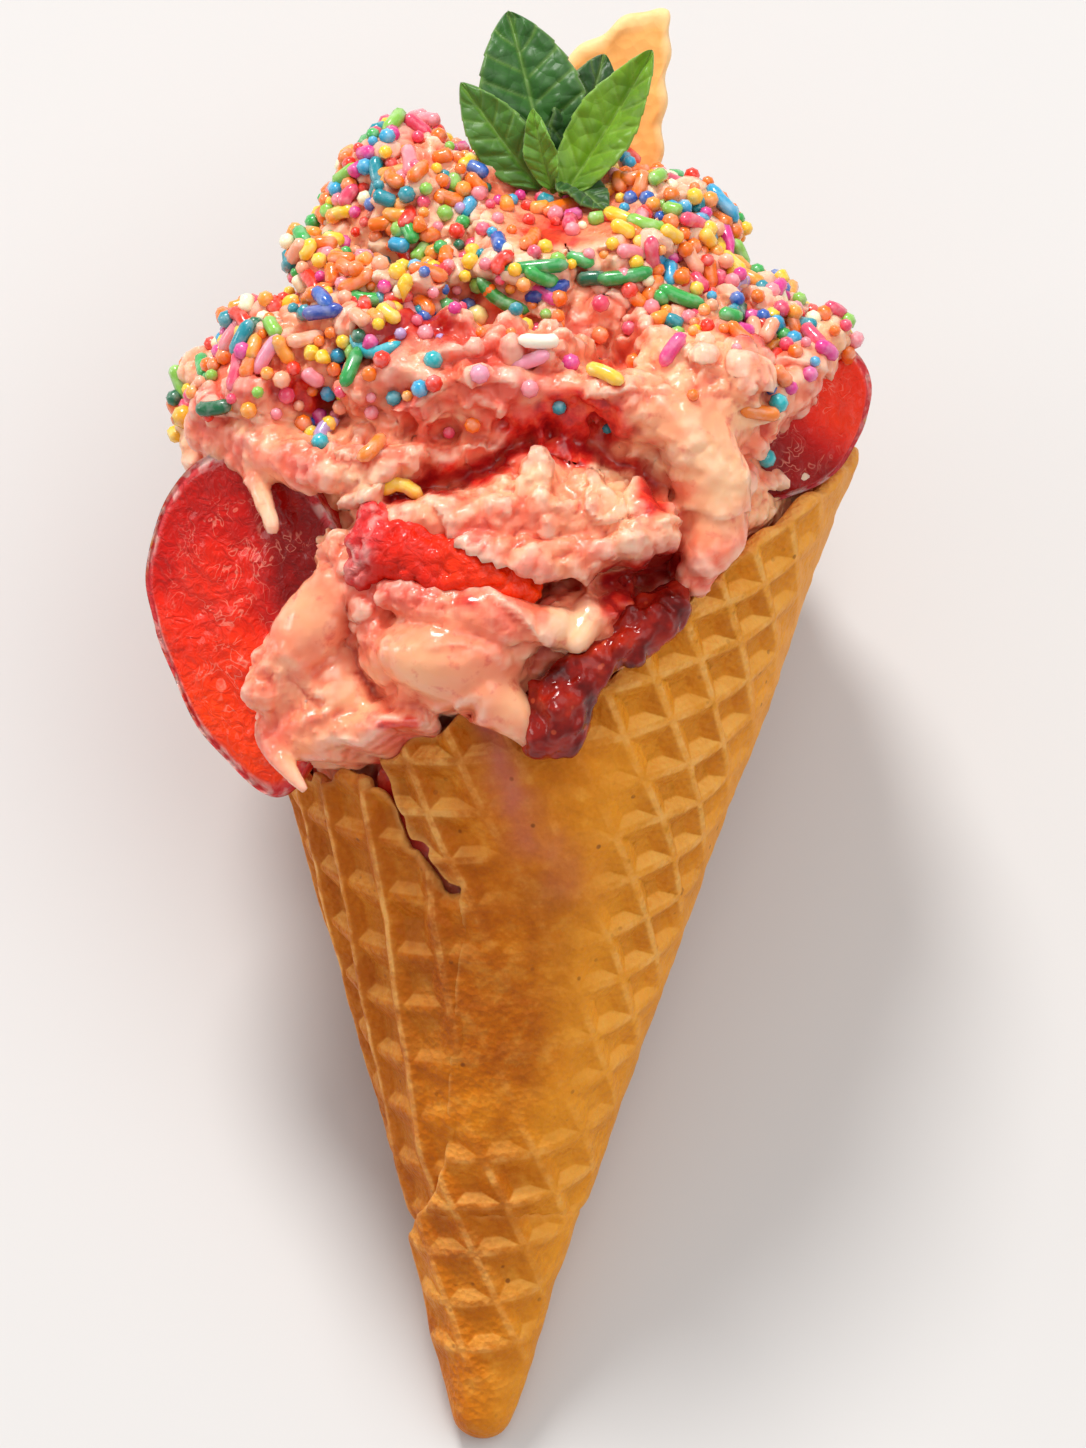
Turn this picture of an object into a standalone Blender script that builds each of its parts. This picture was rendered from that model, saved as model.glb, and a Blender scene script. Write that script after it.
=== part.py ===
"""Strawberry ice cream in a rolled waffle cone, lying down with its dressed side up.

The pieces are modelled in the cone's own frame and parented to an empty that lays the cone down:
x runs across the cone, y along it from the apex where its sides would meet, z towards the dressed side.
Sizes are in millimetres until a mesh is made, and MM turns them into metres.
The sheets and the lumpy mound defeat the EXACT solver, which drops most of their faces, so every
Boolean here uses MANIFOLD on closed meshes.
"""

import math
import random

import bmesh
import bpy
from mathutils import Matrix, Vector, noise
from mathutils.bvhtree import BVHTree

MM = 0.001

# Waffle cone
TAPER = 0.326  # radius gained for each unit along the cone
TILT = math.atan(TAPER)
TIP_AT = 7.2  # the rounded tip lies this far from the apex
TIP_RADIUS = 4.2
NOSE_TOP = 40.0  # the solid nose ends here, inside the rolled sheets
SHEET_FOOT = 37.0
RIM_MEAN, RIM_SWING, RIM_PEAK = 117.0, 24.0, math.radians(120)
RIM_SCALLOP, RIM_SCALLOPS = 0.7, 29
JAM_DIP, JAM_DIP_AT, JAM_DIP_WIDTH = 7.0, 26.0, 18.0  # the rim dips under the jam; turns in degrees
GRID_PITCH = 7.4
POCKET_DEPTH = 1.0
POCKET_INSET = 0.24  # slope of a pocket's walls, as a share of the pitch
SHEET_WALL = 2.1
INNER_STEP = 1.3  # the inner turn lies this far below the outer one
OUTER_LATTICE, INNER_LATTICE = math.radians(29), math.radians(10)
# Edges of the two turns: share of the height, turn in degrees
OUTER_SEAM = [(0.0, -44), (0.12, -27), (0.30, -15), (0.47, -9), (0.65, -10), (0.80, -20), (1.0, -31)]
INNER_SEAM = [(0.0, -28), (0.15, -12), (0.35, -2), (0.6, -7), (0.68, -12), (0.8, -20), (0.92, -31), (1, -42)]
SEAM_LUMP = 2.0  # degrees
OUTER_END, INNER_START = 200.0, -172.0

GAP = 0.35  # clearance between touching pieces
REST_FLAT = 0.35  # the lowest ridges are flattened by this much

COLOURS = {
    "waffle": (0.62, 0.27, 0.06),
    "ice_cream": (0.86, 0.42, 0.27),
    "strawberry": (0.70, 0.04, 0.02),
    "jam": (0.24, 0.01, 0.01),
    "mint": (0.06, 0.22, 0.03),
    "biscuit": (0.86, 0.50, 0.18),
}

# Lobes of the ice cream: centre, radii
LOBES = [
    ((0, 131, -2), (40, 25, 38)),
    ((-1, 150, -4), (31, 24, 27)),
    ((22, 147, 4), (20, 15, 22)),
    ((-29, 140, 6), (15, 9.5, 20)),
    ((-17, 163, 0), (10.5, 12, 14)),
    ((11, 160, 2), (19, 13, 18)),
    ((-8, 109, 31), (12.5, 9.5, 11)),
    ((-24, 106, 21), (12.5, 12.5, 12)),
    ((3, 125, 32), (17, 7, 10)),
    ((-6, 139, 28), (20, 9, 12)),
    ((22, 141, 25), (11, 10, 12)),
    ((-16, 119, 26), (9, 9, 12)),
]

# Runs of melted ice cream: points along each, with the radius there
RUNS = [
    [((-31, 133, 22), 4.5), ((-33, 127, 23), 3.0), ((-30.5, 122, 24.5), 1.5)],
    [((-27, 99, 27), 4.0), ((-28, 96, 27.5), 2.6), ((-25.3, 91.8, 30.5), 1.3)],
    [((18, 141, 32), 6.0), ((25, 133, 30), 5.6), ((26, 127, 29), 5.0), ((22, 119, 31), 3.4)],
    [((-2, 105, 37), 5.0), ((3, 101, 37), 3.6), ((5, 97.5, 34.8), 2.0)],
    [((-20, 133, 33), 5.0), ((-12, 130, 35), 4.5), ((-3, 131, 37), 4.0)],
]
STEM_TOP = 118.0  # the filling of the cone reaches into the mound up to here
TEXTURE_FROM = 98.0  # the torn texture starts where the ice cream leaves the cone
CORE_VOXEL, CORE_TRIANGLES = 1.5, 2600
CUT_CORE_TRIANGLES = 2000

SPRINKLE_RADIUS, SPRINKLE_LENGTH, SPRINKLE_SIDES = 1.15, (4.0, 6.6), 5
SPRINKLE_COUNT, SPRINKLE_SPACING = 68, 5.2
SPRINKLE_LIFT = 0.6  # height of a strand's middle over the surface, as a share of its radius
SPRINKLE_TRIES = 6000

# Cut strawberries: centre, half length, half width, half thickness, lumpiness; lean, turn, roll in degrees
BERRIES = {
    "strawberry_left": ((-33.5, 112.5, 17), 22.5, 16.0, 13.0, 0.06, (6, -30, 8)),
    "strawberry_right": ((34.5, 139.5, 13), 16.0, 11.0, 9.5, 0.06, (-52, 38, 0)),
    "strawberry_chunk": ((-10, 120.0, 37.5), 12.0, 6.8, 7.5, 0.22, (74, 4, 0)),
}

# Jam over the rim: points along it, with the radius there
JAM_PATH = [
    ((19.8, 117, 32.0), 2.4),
    ((15.5, 112.5, 34.2), 3.4),
    ((10.0, 109.2, 35.2), 3.6),
    ((5.2, 104.6, 36.2), 4.4),
]
JAM_VOXEL, JAM_TRIANGLES = 0.8, 420

# Mint leaves: foot, tip, half width, way the face looks, sag of the tip
LEAVES = [
    ((3, 171, 6), (-3.1, 193.4, 4), 6.9, (0.10, 0.15, 1.0), 1.6),
    ((2, 170, 8), (-8.8, 183.0, 9), 4.3, (-0.35, 0.2, 1.0), 1.2),
    ((4.5, 170, 9), (15.4, 187.8, 11), 4.9, (0.5, -0.25, 0.85), -1.4),
    ((3.5, 170, 9), (0.6, 180.0, 12), 2.2, (-0.3, 0.0, 1.0), 0.6),
    ((5, 171, 6), (9.6, 188.5, 2), 4.8, (0.3, 0.2, 1.0), 1.2),
    ((4.5, 171, 8), (10.6, 166.6, 13.5), 3.2, (0.2, 0.7, 0.7), 0.8),
]
LEAF_THICKNESS = 0.6
STEM_LOW, STEM_HIGH = Vector((3.6, 162, 3.6)), Vector((3.8, 174, 7.4))  # of the mint
STEM_RADII = 1.3, 1.5

# The biscuit's corners in its own plane, which stands behind the mint
BISCUIT_CORNERS = [(17.4, 194.2), (3.6, 187.6), (-0.6, 168.0), (2.0, 160.0), (16.2, 160.0)]
BISCUIT_THICKNESS = 3.6
BISCUIT_BACK = -7.0
CRIMP_DEPTH, CRIMP_PITCH = 0.45, 3.2


def clear_scene():
    for obj in list(bpy.data.objects):
        bpy.data.objects.remove(obj)


def new_collection(name, hidden=False):
    made = bpy.data.collections.new(name)
    bpy.context.scene.collection.children.link(made)
    made.hide_render = hidden
    return made


def material(name, colour, roughness):
    made = bpy.data.materials.new(name)
    made.use_nodes = True
    shader = made.node_tree.nodes["Principled BSDF"]
    shader.inputs["Base Color"].default_value = (*colour, 1.0)
    shader.inputs["Roughness"].default_value = roughness
    return made


def object_from(bm, name, collection):
    """Turns a bmesh in millimetres into an object in metres."""
    bmesh.ops.scale(bm, vec=(MM, MM, MM), verts=bm.verts)
    mesh = bpy.data.meshes.new(name)
    bm.to_mesh(mesh)
    bm.free()
    obj = bpy.data.objects.new(name, mesh)
    collection.objects.link(obj)
    return obj


def apply_modifiers(obj):
    graph = bpy.context.evaluated_depsgraph_get()
    mesh = bpy.data.meshes.new_from_object(obj.evaluated_get(graph))
    obj.modifiers.clear()
    obj.data = mesh


def boolean(obj, other, operation):
    """Joins, cuts or keeps with another object and applies it at once."""
    modifier = obj.modifiers.new(operation.title(), "BOOLEAN")
    modifier.operation = operation
    modifier.solver = "MANIFOLD"
    modifier.object = other
    apply_modifiers(obj)


def thinned(obj, triangles):
    """Collapses the slivers that the cuts leave, down to a number of triangles."""
    obj.data.calc_loop_triangles()
    decimate = obj.modifiers.new("Decimate", "DECIMATE")
    decimate.ratio = min(1.0, triangles / len(obj.data.loop_triangles))
    decimate.use_collapse_triangulate = True
    apply_modifiers(obj)


def remove(*objects):
    for obj in objects:
        bpy.data.objects.remove(obj)


def grown(obj, amount, name, collection):
    """A copy swollen along its normals, which cuts room for the piece in its neighbour."""
    bm = bmesh.new()
    bm.from_mesh(obj.data)
    bm.normal_update()
    for vert in bm.verts:
        vert.co += vert.normal * amount * MM
    bmesh.ops.scale(bm, vec=(1 / MM, 1 / MM, 1 / MM), verts=bm.verts)
    return object_from(bm, name, collection)


def keep_largest(obj):
    """Drops the scraps that a cut leaves loose."""
    bm = bmesh.new()
    bm.from_mesh(obj.data)
    left, islands = set(bm.verts), []
    while left:
        island, edge_of_search = set(), [left.pop()]
        while edge_of_search:
            vert = edge_of_search.pop()
            island.add(vert)
            near = {edge.other_vert(vert) for edge in vert.link_edges} & left
            left -= near
            edge_of_search.extend(near)
        islands.append(island)
    islands.sort(key=len)
    for island in islands[:-1]:
        bmesh.ops.delete(bm, geom=list(island), context="VERTS")
    bm.to_mesh(obj.data)
    bm.free()


def blend_table(table, at):
    """Straight-line reading of a short table of (position, value) pairs, in rising order."""
    if at <= table[0][0]:
        return table[0][1]
    for (x0, y0), (x1, y1) in zip(table, table[1:]):
        if at <= x1:
            return y0 + (y1 - y0) * (at - x0) / (x1 - x0)
    return table[-1][1]


# Waffle cone


def on_cone(slant, turn, height):
    """A point a height off the cone's face, at a slant length from the apex and a turn round the axis."""
    radius = slant * math.sin(TILT) + height * math.cos(TILT)
    along = slant * math.cos(TILT) - height * math.sin(TILT)
    return Vector((radius * math.sin(turn), along, radius * math.cos(turn)))


def rim_height(turn):
    """How far up the rim stands: the slanted edge of the rolled round, with a dip under the jam."""
    degrees = (math.degrees(turn) + 180) % 360 - 180
    dip = JAM_DIP * math.exp(-(((degrees - JAM_DIP_AT) / JAM_DIP_WIDTH) ** 2))
    scallop = RIM_SCALLOP * math.sin(turn * RIM_SCALLOPS)
    return RIM_MEAN + RIM_SWING * math.cos(turn - RIM_PEAK) - dip + scallop


def sheet_solid(name, collection, lattice_turn, crest, turn_range):
    """A waffle-pressed sheet on the cone: a square lattice when laid flat, each cell an inset pocket."""
    bm = bmesh.new()
    cosine, sine = math.cos(lattice_turn), math.sin(lattice_turn)
    corners = {}

    def placed(i, j, height):
        x = GRID_PITCH * (i * cosine - j * sine)
        y = GRID_PITCH * (i * sine + j * cosine)
        # The angle in the flattened cone is taken about the middle of the sheet, so that it never wraps
        middle = math.radians(sum(turn_range) / 2) * math.sin(TILT)
        turned = complex(y, x) * complex(math.cos(middle), -math.sin(middle))
        flat_angle = math.atan2(turned.imag, turned.real) + middle
        return math.hypot(x, y), flat_angle / math.sin(TILT), height

    def corner(i, j, level, height):
        key = (i, j, level)
        if key not in corners:
            corners[key] = bm.verts.new(on_cone(*placed(i, j, height)))
        return corners[key]

    reach = int((RIM_MEAN + RIM_SWING) / math.cos(TILT) / GRID_PITCH) + 3
    cells = set()
    for i in range(-reach, reach):
        for j in range(-reach, reach):
            slant, turn, _ = placed(i + 0.5, j + 0.5, 0)
            if slant < GRID_PITCH:
                continue
            spare = math.degrees(GRID_PITCH / (slant * math.sin(TILT)))
            inside = turn_range[0] - spare < math.degrees(turn) < turn_range[1] + spare
            tall = rim_height(turn) / math.cos(TILT) + GRID_PITCH
            if inside and SHEET_FOOT - 1 < slant < tall:
                cells.add((i, j))
    # Cells that touch only at a corner would share one upright edge four ways
    for i, j in sorted(cells):
        for step in (1, -1):
            if (i + 1, j + step) in cells and (i + 1, j) not in cells and (i, j + step) not in cells:
                cells.add((i + 1, j))
    for i, j in sorted(cells):
        ring = [(i, j), (i + 1, j), (i + 1, j + 1), (i, j + 1)]
        top = [corner(*c, 1, crest) for c in ring]
        base = [corner(*c, 0, crest - SHEET_WALL) for c in ring]
        floor = []
        for ci, cj in ring:
            fi = ci + (POCKET_INSET if ci == i else -POCKET_INSET)
            fj = cj + (POCKET_INSET if cj == j else -POCKET_INSET)
            floor.append(bm.verts.new(on_cone(*placed(fi, fj, crest - POCKET_DEPTH))))
        bm.faces.new(floor)
        bm.faces.new(list(reversed(base)))
        for a in range(4):
            b = (a + 1) % 4
            bm.faces.new([top[a], top[b], floor[b], floor[a]])
            side = [(0, -1), (1, 0), (0, 1), (-1, 0)][a]
            if (i + side[0], j + side[1]) not in cells:
                bm.faces.new([top[b], top[a], base[a], base[b]])
    bmesh.ops.recalc_face_normals(bm, faces=bm.faces)
    return object_from(bm, name, collection)


def sector_block(name, collection, left_edge, right_edge, divisions, heights, top_gap=0.0):
    """A thick block round the axis between two edges, from foot to rim, or a closed ring if they meet.

    divisions are the steps round and the rows up, and heights are measured off the cone's face.
    """
    steps, rows = divisions
    bm = bmesh.new()
    points = {}
    ring = abs(right_edge(0.0) - left_edge(0.0) - 360) < 0.001
    for row in range(rows + 1):
        share = row / rows
        first, last = left_edge(share), right_edge(share)
        for step in range(steps + 1):
            turn = math.radians(first + (last - first) * step / steps)
            along = SHEET_FOOT + (rim_height(turn) + top_gap - SHEET_FOOT) * share
            for level, height in enumerate(heights):
                point = on_cone((along + height * math.sin(TILT)) / math.cos(TILT), turn, height)
                points[row, step, level] = bm.verts.new(point)

    def face(*keys):
        wrapped = [(row, step % steps if ring else step, level) for row, step, level in keys]
        bm.faces.new([points[key] for key in wrapped])

    for row in range(rows):
        for step in range(steps):
            face((row, step, 0), (row, step + 1, 0), (row + 1, step + 1, 0), (row + 1, step, 0))
            face((row, step, 1), (row + 1, step, 1), (row + 1, step + 1, 1), (row, step + 1, 1))
        for step in () if ring else (0, steps):
            face((row, step, 0), (row + 1, step, 0), (row + 1, step, 1), (row, step, 1))
    for step in range(steps):
        for row in (0, rows):
            face((row, step, 0), (row, step + 1, 0), (row, step + 1, 1), (row, step, 1))
    bmesh.ops.delete(bm, geom=[vert for vert in bm.verts if not vert.link_faces], context="VERTS")
    bmesh.ops.recalc_face_normals(bm, faces=bm.faces)
    return object_from(bm, name, collection)


def scalloped(table, share, size):
    """A seam's turn in degrees at a share of the height, with the lumps of its baked edge."""
    return blend_table(table, share) + size * math.sin(share * 60)


def nose(name, collection):
    """The closed tip, turned from a profile that runs down its outer side."""
    top_radius = NOSE_TOP * TAPER - 0.8
    points = [(0.0, NOSE_TOP), (top_radius, NOSE_TOP)]
    for step in range(7):
        angle = -TILT - (math.pi / 2 - TILT) * step / 6
        points.append((TIP_RADIUS * math.cos(angle), TIP_AT + TIP_RADIUS + TIP_RADIUS * math.sin(angle)))
    points[-1] = (0.0, TIP_AT)
    bm = bmesh.new()
    verts = [bm.verts.new((x, 0.0, z)) for x, z in points]
    for a, b in zip(verts, verts[1:]):
        bm.edges.new((a, b))
    obj = object_from(bm, name, collection)
    screw = obj.modifiers.new("Screw", "SCREW")
    screw.steps = screw.render_steps = 20
    screw.use_merge_vertices = True
    screw.merge_threshold = 0.00001
    apply_modifiers(obj)
    # The profile is turned about z, and the cone's axis is y
    obj.data.transform(Matrix.Rotation(math.radians(-90), 4, "X"))
    recalculated(obj)
    return obj


def recalculated(obj):
    bm = bmesh.new()
    bm.from_mesh(obj.data)
    bmesh.ops.remove_doubles(bm, verts=bm.verts, dist=1e-7)
    bmesh.ops.recalc_face_normals(bm, faces=bm.faces)
    bm.to_mesh(obj.data)
    bm.free()


def waffle_cone(parts, cutters):
    def outer_front(share):
        return scalloped(OUTER_SEAM, share, SEAM_LUMP)

    def outer_back(share):
        return OUTER_END + SEAM_LUMP * math.sin(share * 40)

    def inner_front(share):
        return scalloped(INNER_SEAM, share, -SEAM_LUMP)

    def inner_back(share):
        return INNER_START

    outer = sheet_solid("waffle_cone", parts, OUTER_LATTICE, 0.0, (outer_front(0), OUTER_END + SEAM_LUMP))
    keep = sector_block("outer_outline", cutters, outer_front, outer_back, (44, 9), (-5.0, 4.0))
    boolean(outer, keep, "INTERSECT")
    inner = sheet_solid("inner_turn", cutters, INNER_LATTICE, -INNER_STEP, (INNER_START, inner_front(0.35)))
    inside = sector_block("inner_outline", cutters, inner_back, inner_front, (24, 8), (-6.0, 3.0))
    boolean(inner, inside, "INTERSECT")
    boolean(outer, inner, "UNION")
    tip = nose("nose", cutters)
    boolean(outer, tip, "UNION")
    remove(keep, inner, inside, tip)
    keep_largest(outer)
    return outer


def cone_clearance(cutters):
    """Room for the cone's wall in whatever hangs over its rim."""
    heights = -INNER_STEP - SHEET_WALL - 2 * GAP, 2 * GAP

    def left(share):
        return -180.0

    def right(share):
        return 180.0

    return sector_block("cone_room", cutters, left, right, (48, 4), heights, 2 * GAP)


# Ice cream


def rough(point, size, seed):
    return noise.noise(Vector(point) / size + Vector((seed, seed * 1.7, seed * 0.3)))


def ellipsoid(bm, centre, radii, finer=3):
    place = Matrix.Translation(centre) @ Matrix.Diagonal((*radii, 1.0))
    bmesh.ops.create_icosphere(bm, subdivisions=finer, radius=1.0, matrix=place)


def run_of(bm, path, spacing=0.35):
    """Balls along a path, close enough to remesh into one run."""
    for (a, ra), (b, rb) in zip(path, path[1:]):
        a, b = Vector(a), Vector(b)
        count = max(2, int((b - a).length / (min(ra, rb) * spacing)))
        for step in range(count + 1):
            share = step / count
            radius = ra + (rb - ra) * share
            ellipsoid(bm, a.lerp(b, share), (radius,) * 3, 2)


def stem(bm):
    """The ice cream that fills the cone."""
    low, high = NOSE_TOP + GAP, STEM_TOP
    overlap = 0.8 - INNER_STEP - SHEET_WALL
    lower, upper = low * TAPER + overlap, high * TAPER + overlap
    place = Matrix.Translation((0, (low + high) / 2, 0)) @ Matrix.Rotation(math.radians(-90), 4, "X")
    bmesh.ops.create_cone(
        bm, cap_ends=True, segments=40, radius1=lower, radius2=upper, depth=high - low, matrix=place,
    )


def ice_cream_core(parts):
    bm = bmesh.new()
    for centre, radii in LOBES:
        ellipsoid(bm, centre, radii)
    for path in RUNS:
        run_of(bm, path)
    stem(bm)
    core = object_from(bm, "ice_cream", parts)
    remesh = core.modifiers.new("Remesh", "REMESH")
    remesh.mode = "VOXEL"
    remesh.voxel_size = CORE_VOXEL * MM
    apply_modifiers(core)
    scooped_surface(core)
    thinned(core, CORE_TRIANGLES)
    return core


def scooped_surface(obj):
    """Torn scoop texture: uneven swells over the whole mound, left out inside the cone."""
    bm = bmesh.new()
    bm.from_mesh(obj.data)
    bm.normal_update()
    moves = []
    for vert in bm.verts:
        at = vert.co / MM
        swell = 2.4 * rough(at, 9.0, 3.1) + 1.2 * rough(at, 4.0, 8.7)
        share = min(1.0, max(0.0, (at.y - TEXTURE_FROM) / 10))
        moves.append(vert.normal * swell * share * MM)
    for vert, move in zip(bm.verts, moves):
        vert.co += move
    bm.to_mesh(obj.data)
    bm.free()


def rod(bm, centre, along, length, radius):
    """A sugar strand: a five-sided rod with pointed ends."""
    sides = SPRINKLE_SIDES
    across = along.orthogonal().normalized()
    over = along.cross(across)
    rings = []
    for end in (-0.5, 0.5):
        middle = centre + along * (length - radius) * end
        ring = []
        for side in range(sides):
            angle = 2 * math.pi * side / sides
            ring.append(bm.verts.new(middle + (across * math.cos(angle) + over * math.sin(angle)) * radius))
        rings.append(ring)
    tips = [bm.verts.new(centre + along * (length + radius * 0.4) * end) for end in (-0.5, 0.5)]
    for side in range(sides):
        after = (side + 1) % sides
        bm.faces.new([rings[0][side], rings[0][after], rings[1][after], rings[1][side]])
        bm.faces.new([rings[0][after], rings[0][side], tips[0]])
        bm.faces.new([rings[1][side], rings[1][after], tips[1]])


def sprinkle_share(at):
    """How thickly the strands lie: heavy over the crown, thinning down the front."""
    slope = at.y + 0.10 * abs(at.x) - 0.12 * at.z
    return min(1.0, max(0.0, (slope - 128) / 22))


def sprinkled(core, neighbours):
    """Strands lying on the surface, spread evenly by keeping them apart, then fused to the ice cream."""
    draw = random.Random(11)
    bm = bmesh.new()
    bm.from_mesh(core.data)
    surface = BVHTree.FromBMesh(bm)
    bm.free()
    near = []
    for obj in neighbours:
        bm = bmesh.new()
        bm.from_mesh(obj.data)
        near.append(BVHTree.FromBMesh(bm))
        bm.free()
    strands = new_collection("Strands", hidden=True)
    middle = Vector((0, 140, 0))
    laid = []
    for _ in range(SPRINKLE_TRIES):
        if len(laid) >= SPRINKLE_COUNT:
            break
        way = Vector((draw.gauss(0, 1), draw.gauss(0.6, 1), draw.gauss(0.3, 1))).normalized()
        hit, normal, _, _ = surface.ray_cast((middle + way * 90) * MM, -way)
        if hit is None:
            continue
        at = hit / MM
        length = draw.uniform(*SPRINKLE_LENGTH)
        along = normal.cross(Vector((draw.gauss(0, 1), draw.gauss(0, 1), draw.gauss(0, 1)))).normalized()
        apart = all((at - other).length > SPRINKLE_SPACING for other in laid)
        if draw.random() > sprinkle_share(at) or not apart:
            continue
        reach = (length / 2 + SPRINKLE_RADIUS + 0.6) * MM
        if any(tree.find_nearest(hit)[3] < reach for tree in near):
            continue
        if hit.y * math.sin(TILT) + hit.z * math.cos(TILT) < 4 * MM:
            continue
        laid.append(at)
        bm = bmesh.new()
        rod(bm, at + normal * SPRINKLE_RADIUS * SPRINKLE_LIFT, along, length, SPRINKLE_RADIUS)
        bmesh.ops.recalc_face_normals(bm, faces=bm.faces)
        object_from(bm, f"strand_{len(laid):03d}", strands)
    join = core.modifiers.new("Sprinkles", "BOOLEAN")
    join.operation = "UNION"
    join.operand_type = "COLLECTION"
    join.collection = strands
    join.solver = "MANIFOLD"
    apply_modifiers(core)
    remove(*list(strands.objects))
    keep_largest(core)


# Toppings


def strawberry(name, collection):
    """A halved strawberry: a tapered body, cut flat on its face, with small dents for the seeds."""
    centre, half_length, half_width, half_thick, lumpy, (lean, turn, roll) = BERRIES[name]
    bm = bmesh.new()
    bmesh.ops.create_uvsphere(bm, u_segments=18, v_segments=10, radius=1.0)
    for vert in bm.verts:
        down = (1 - vert.co.z) / 2
        narrow = 1.0 - 0.12 * down - (0.34 - lumpy) * down**2 - 0.10 * max(0.0, vert.co.z)
        narrow *= 1 + lumpy * rough(vert.co, 0.45, half_width)
        vert.co = Vector((
            vert.co.x * narrow * half_width, vert.co.z * half_length, vert.co.y * narrow * half_thick,
        ))
    face = 0.3 * half_thick
    cut = bmesh.ops.bisect_plane(
        bm, geom=bm.verts[:] + bm.edges[:] + bm.faces[:], plane_co=(0, 0, face), plane_no=(0, 0, 1),
        clear_outer=True,
    )
    bmesh.ops.edgeloop_fill(bm, edges=[e for e in cut["geom_cut"] if isinstance(e, bmesh.types.BMEdge)])
    turned = (
        Matrix.Translation(centre)
        @ Matrix.Rotation(math.radians(turn), 4, "Y")
        @ Matrix.Rotation(math.radians(lean), 4, "Z")
        @ Matrix.Rotation(math.radians(roll), 4, "X")
    )
    bmesh.ops.transform(bm, matrix=turned, verts=bm.verts)
    bmesh.ops.recalc_face_normals(bm, faces=bm.faces)
    return object_from(bm, name, collection)


def jam_run(collection):
    """Berry jam oozing over the rim, lumpy from the fruit in it."""
    bm = bmesh.new()
    run_of(bm, JAM_PATH)
    obj = object_from(bm, "berry_jam", collection)
    remesh = obj.modifiers.new("Remesh", "REMESH")
    remesh.mode = "VOXEL"
    remesh.voxel_size = JAM_VOXEL * MM
    apply_modifiers(obj)
    bm = bmesh.new()
    bm.from_mesh(obj.data)
    bm.normal_update()
    moves = [vert.normal * 1.1 * rough(vert.co / MM, 2.6, 5.0) * MM for vert in bm.verts]
    for vert, move in zip(bm.verts, moves):
        vert.co += move
    bm.to_mesh(obj.data)
    bm.free()
    thinned(obj, JAM_TRIANGLES)
    return obj


def leaf(foot, tip, half_width, faces, sag, name, collection, spare=0.0):
    """A mint leaf: a pointed oval folded a little along its midrib, with a toothed, wavy edge."""
    foot, tip = Vector(foot), Vector(tip)
    length = (tip - foot).length
    along = (tip - foot) / length
    foot -= along * spare
    length += 2 * spare
    face = (Vector(faces) - along * Vector(faces).dot(along)).normalized()
    side = along.cross(face)
    rows, half = 7, 2
    bm = bmesh.new()
    grid = []
    for row in range(rows + 1):
        share = row / rows
        width = half_width * math.sin(math.pi * share**0.85) ** 0.75 if share < 1 else 0.0
        width = max(width, 0.55) + spare
        tooth = 1 + 0.07 * math.sin(row * math.pi)
        line = []
        for column in range(-half, half + 1):
            across = column / half
            fold = 0.22 * abs(across) * width
            wave = 0.35 * abs(across) * math.sin(share * 14 + column)
            rise = fold + wave - sag * 4 * (share - 0.5) ** 2 + sag
            point = foot + along * length * share + side * across * width * tooth + face * rise
            line.append(bm.verts.new(point))
        grid.append(line)
    for low, high in zip(grid, grid[1:]):
        for a in range(2 * half):
            bm.faces.new([low[a], low[a + 1], high[a + 1], high[a]])
    bmesh.ops.triangulate(bm, faces=bm.faces)
    obj = object_from(bm, name, collection)
    solid = obj.modifiers.new("Solidify", "SOLIDIFY")
    solid.thickness = (LEAF_THICKNESS + 2 * spare) * MM
    solid.offset = 0.0
    apply_modifiers(obj)
    recalculated(obj)
    return obj


def mint_sprig(name, collection, spare=0.0):
    """The leaves of one shoot, fused to its short stem. With some to spare, it is the room that it needs."""
    bm = bmesh.new()
    reach = STEM_HIGH - STEM_LOW
    turned = reach.to_track_quat("Z", "Y").to_matrix().to_4x4()
    low_radius, high_radius = STEM_RADII
    bmesh.ops.create_cone(
        bm, cap_ends=True, segments=8, radius1=low_radius + spare, radius2=high_radius + spare,
        depth=reach.length + 2 * spare, matrix=Matrix.Translation((STEM_LOW + STEM_HIGH) / 2) @ turned,
    )
    sprig = object_from(bm, name, collection)
    leaves = new_collection("Leaves", hidden=True)
    for number, values in enumerate(LEAVES, 1):
        leaf(*values, f"leaf_{number}", leaves, spare)
    join = sprig.modifiers.new("Leaves", "BOOLEAN")
    join.operation = "UNION"
    join.operand_type = "COLLECTION"
    join.collection = leaves
    join.solver = "MANIFOLD"
    apply_modifiers(sprig)
    remove(*list(leaves.objects))
    bpy.data.collections.remove(leaves)
    keep_largest(sprig)
    return sprig


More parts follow.
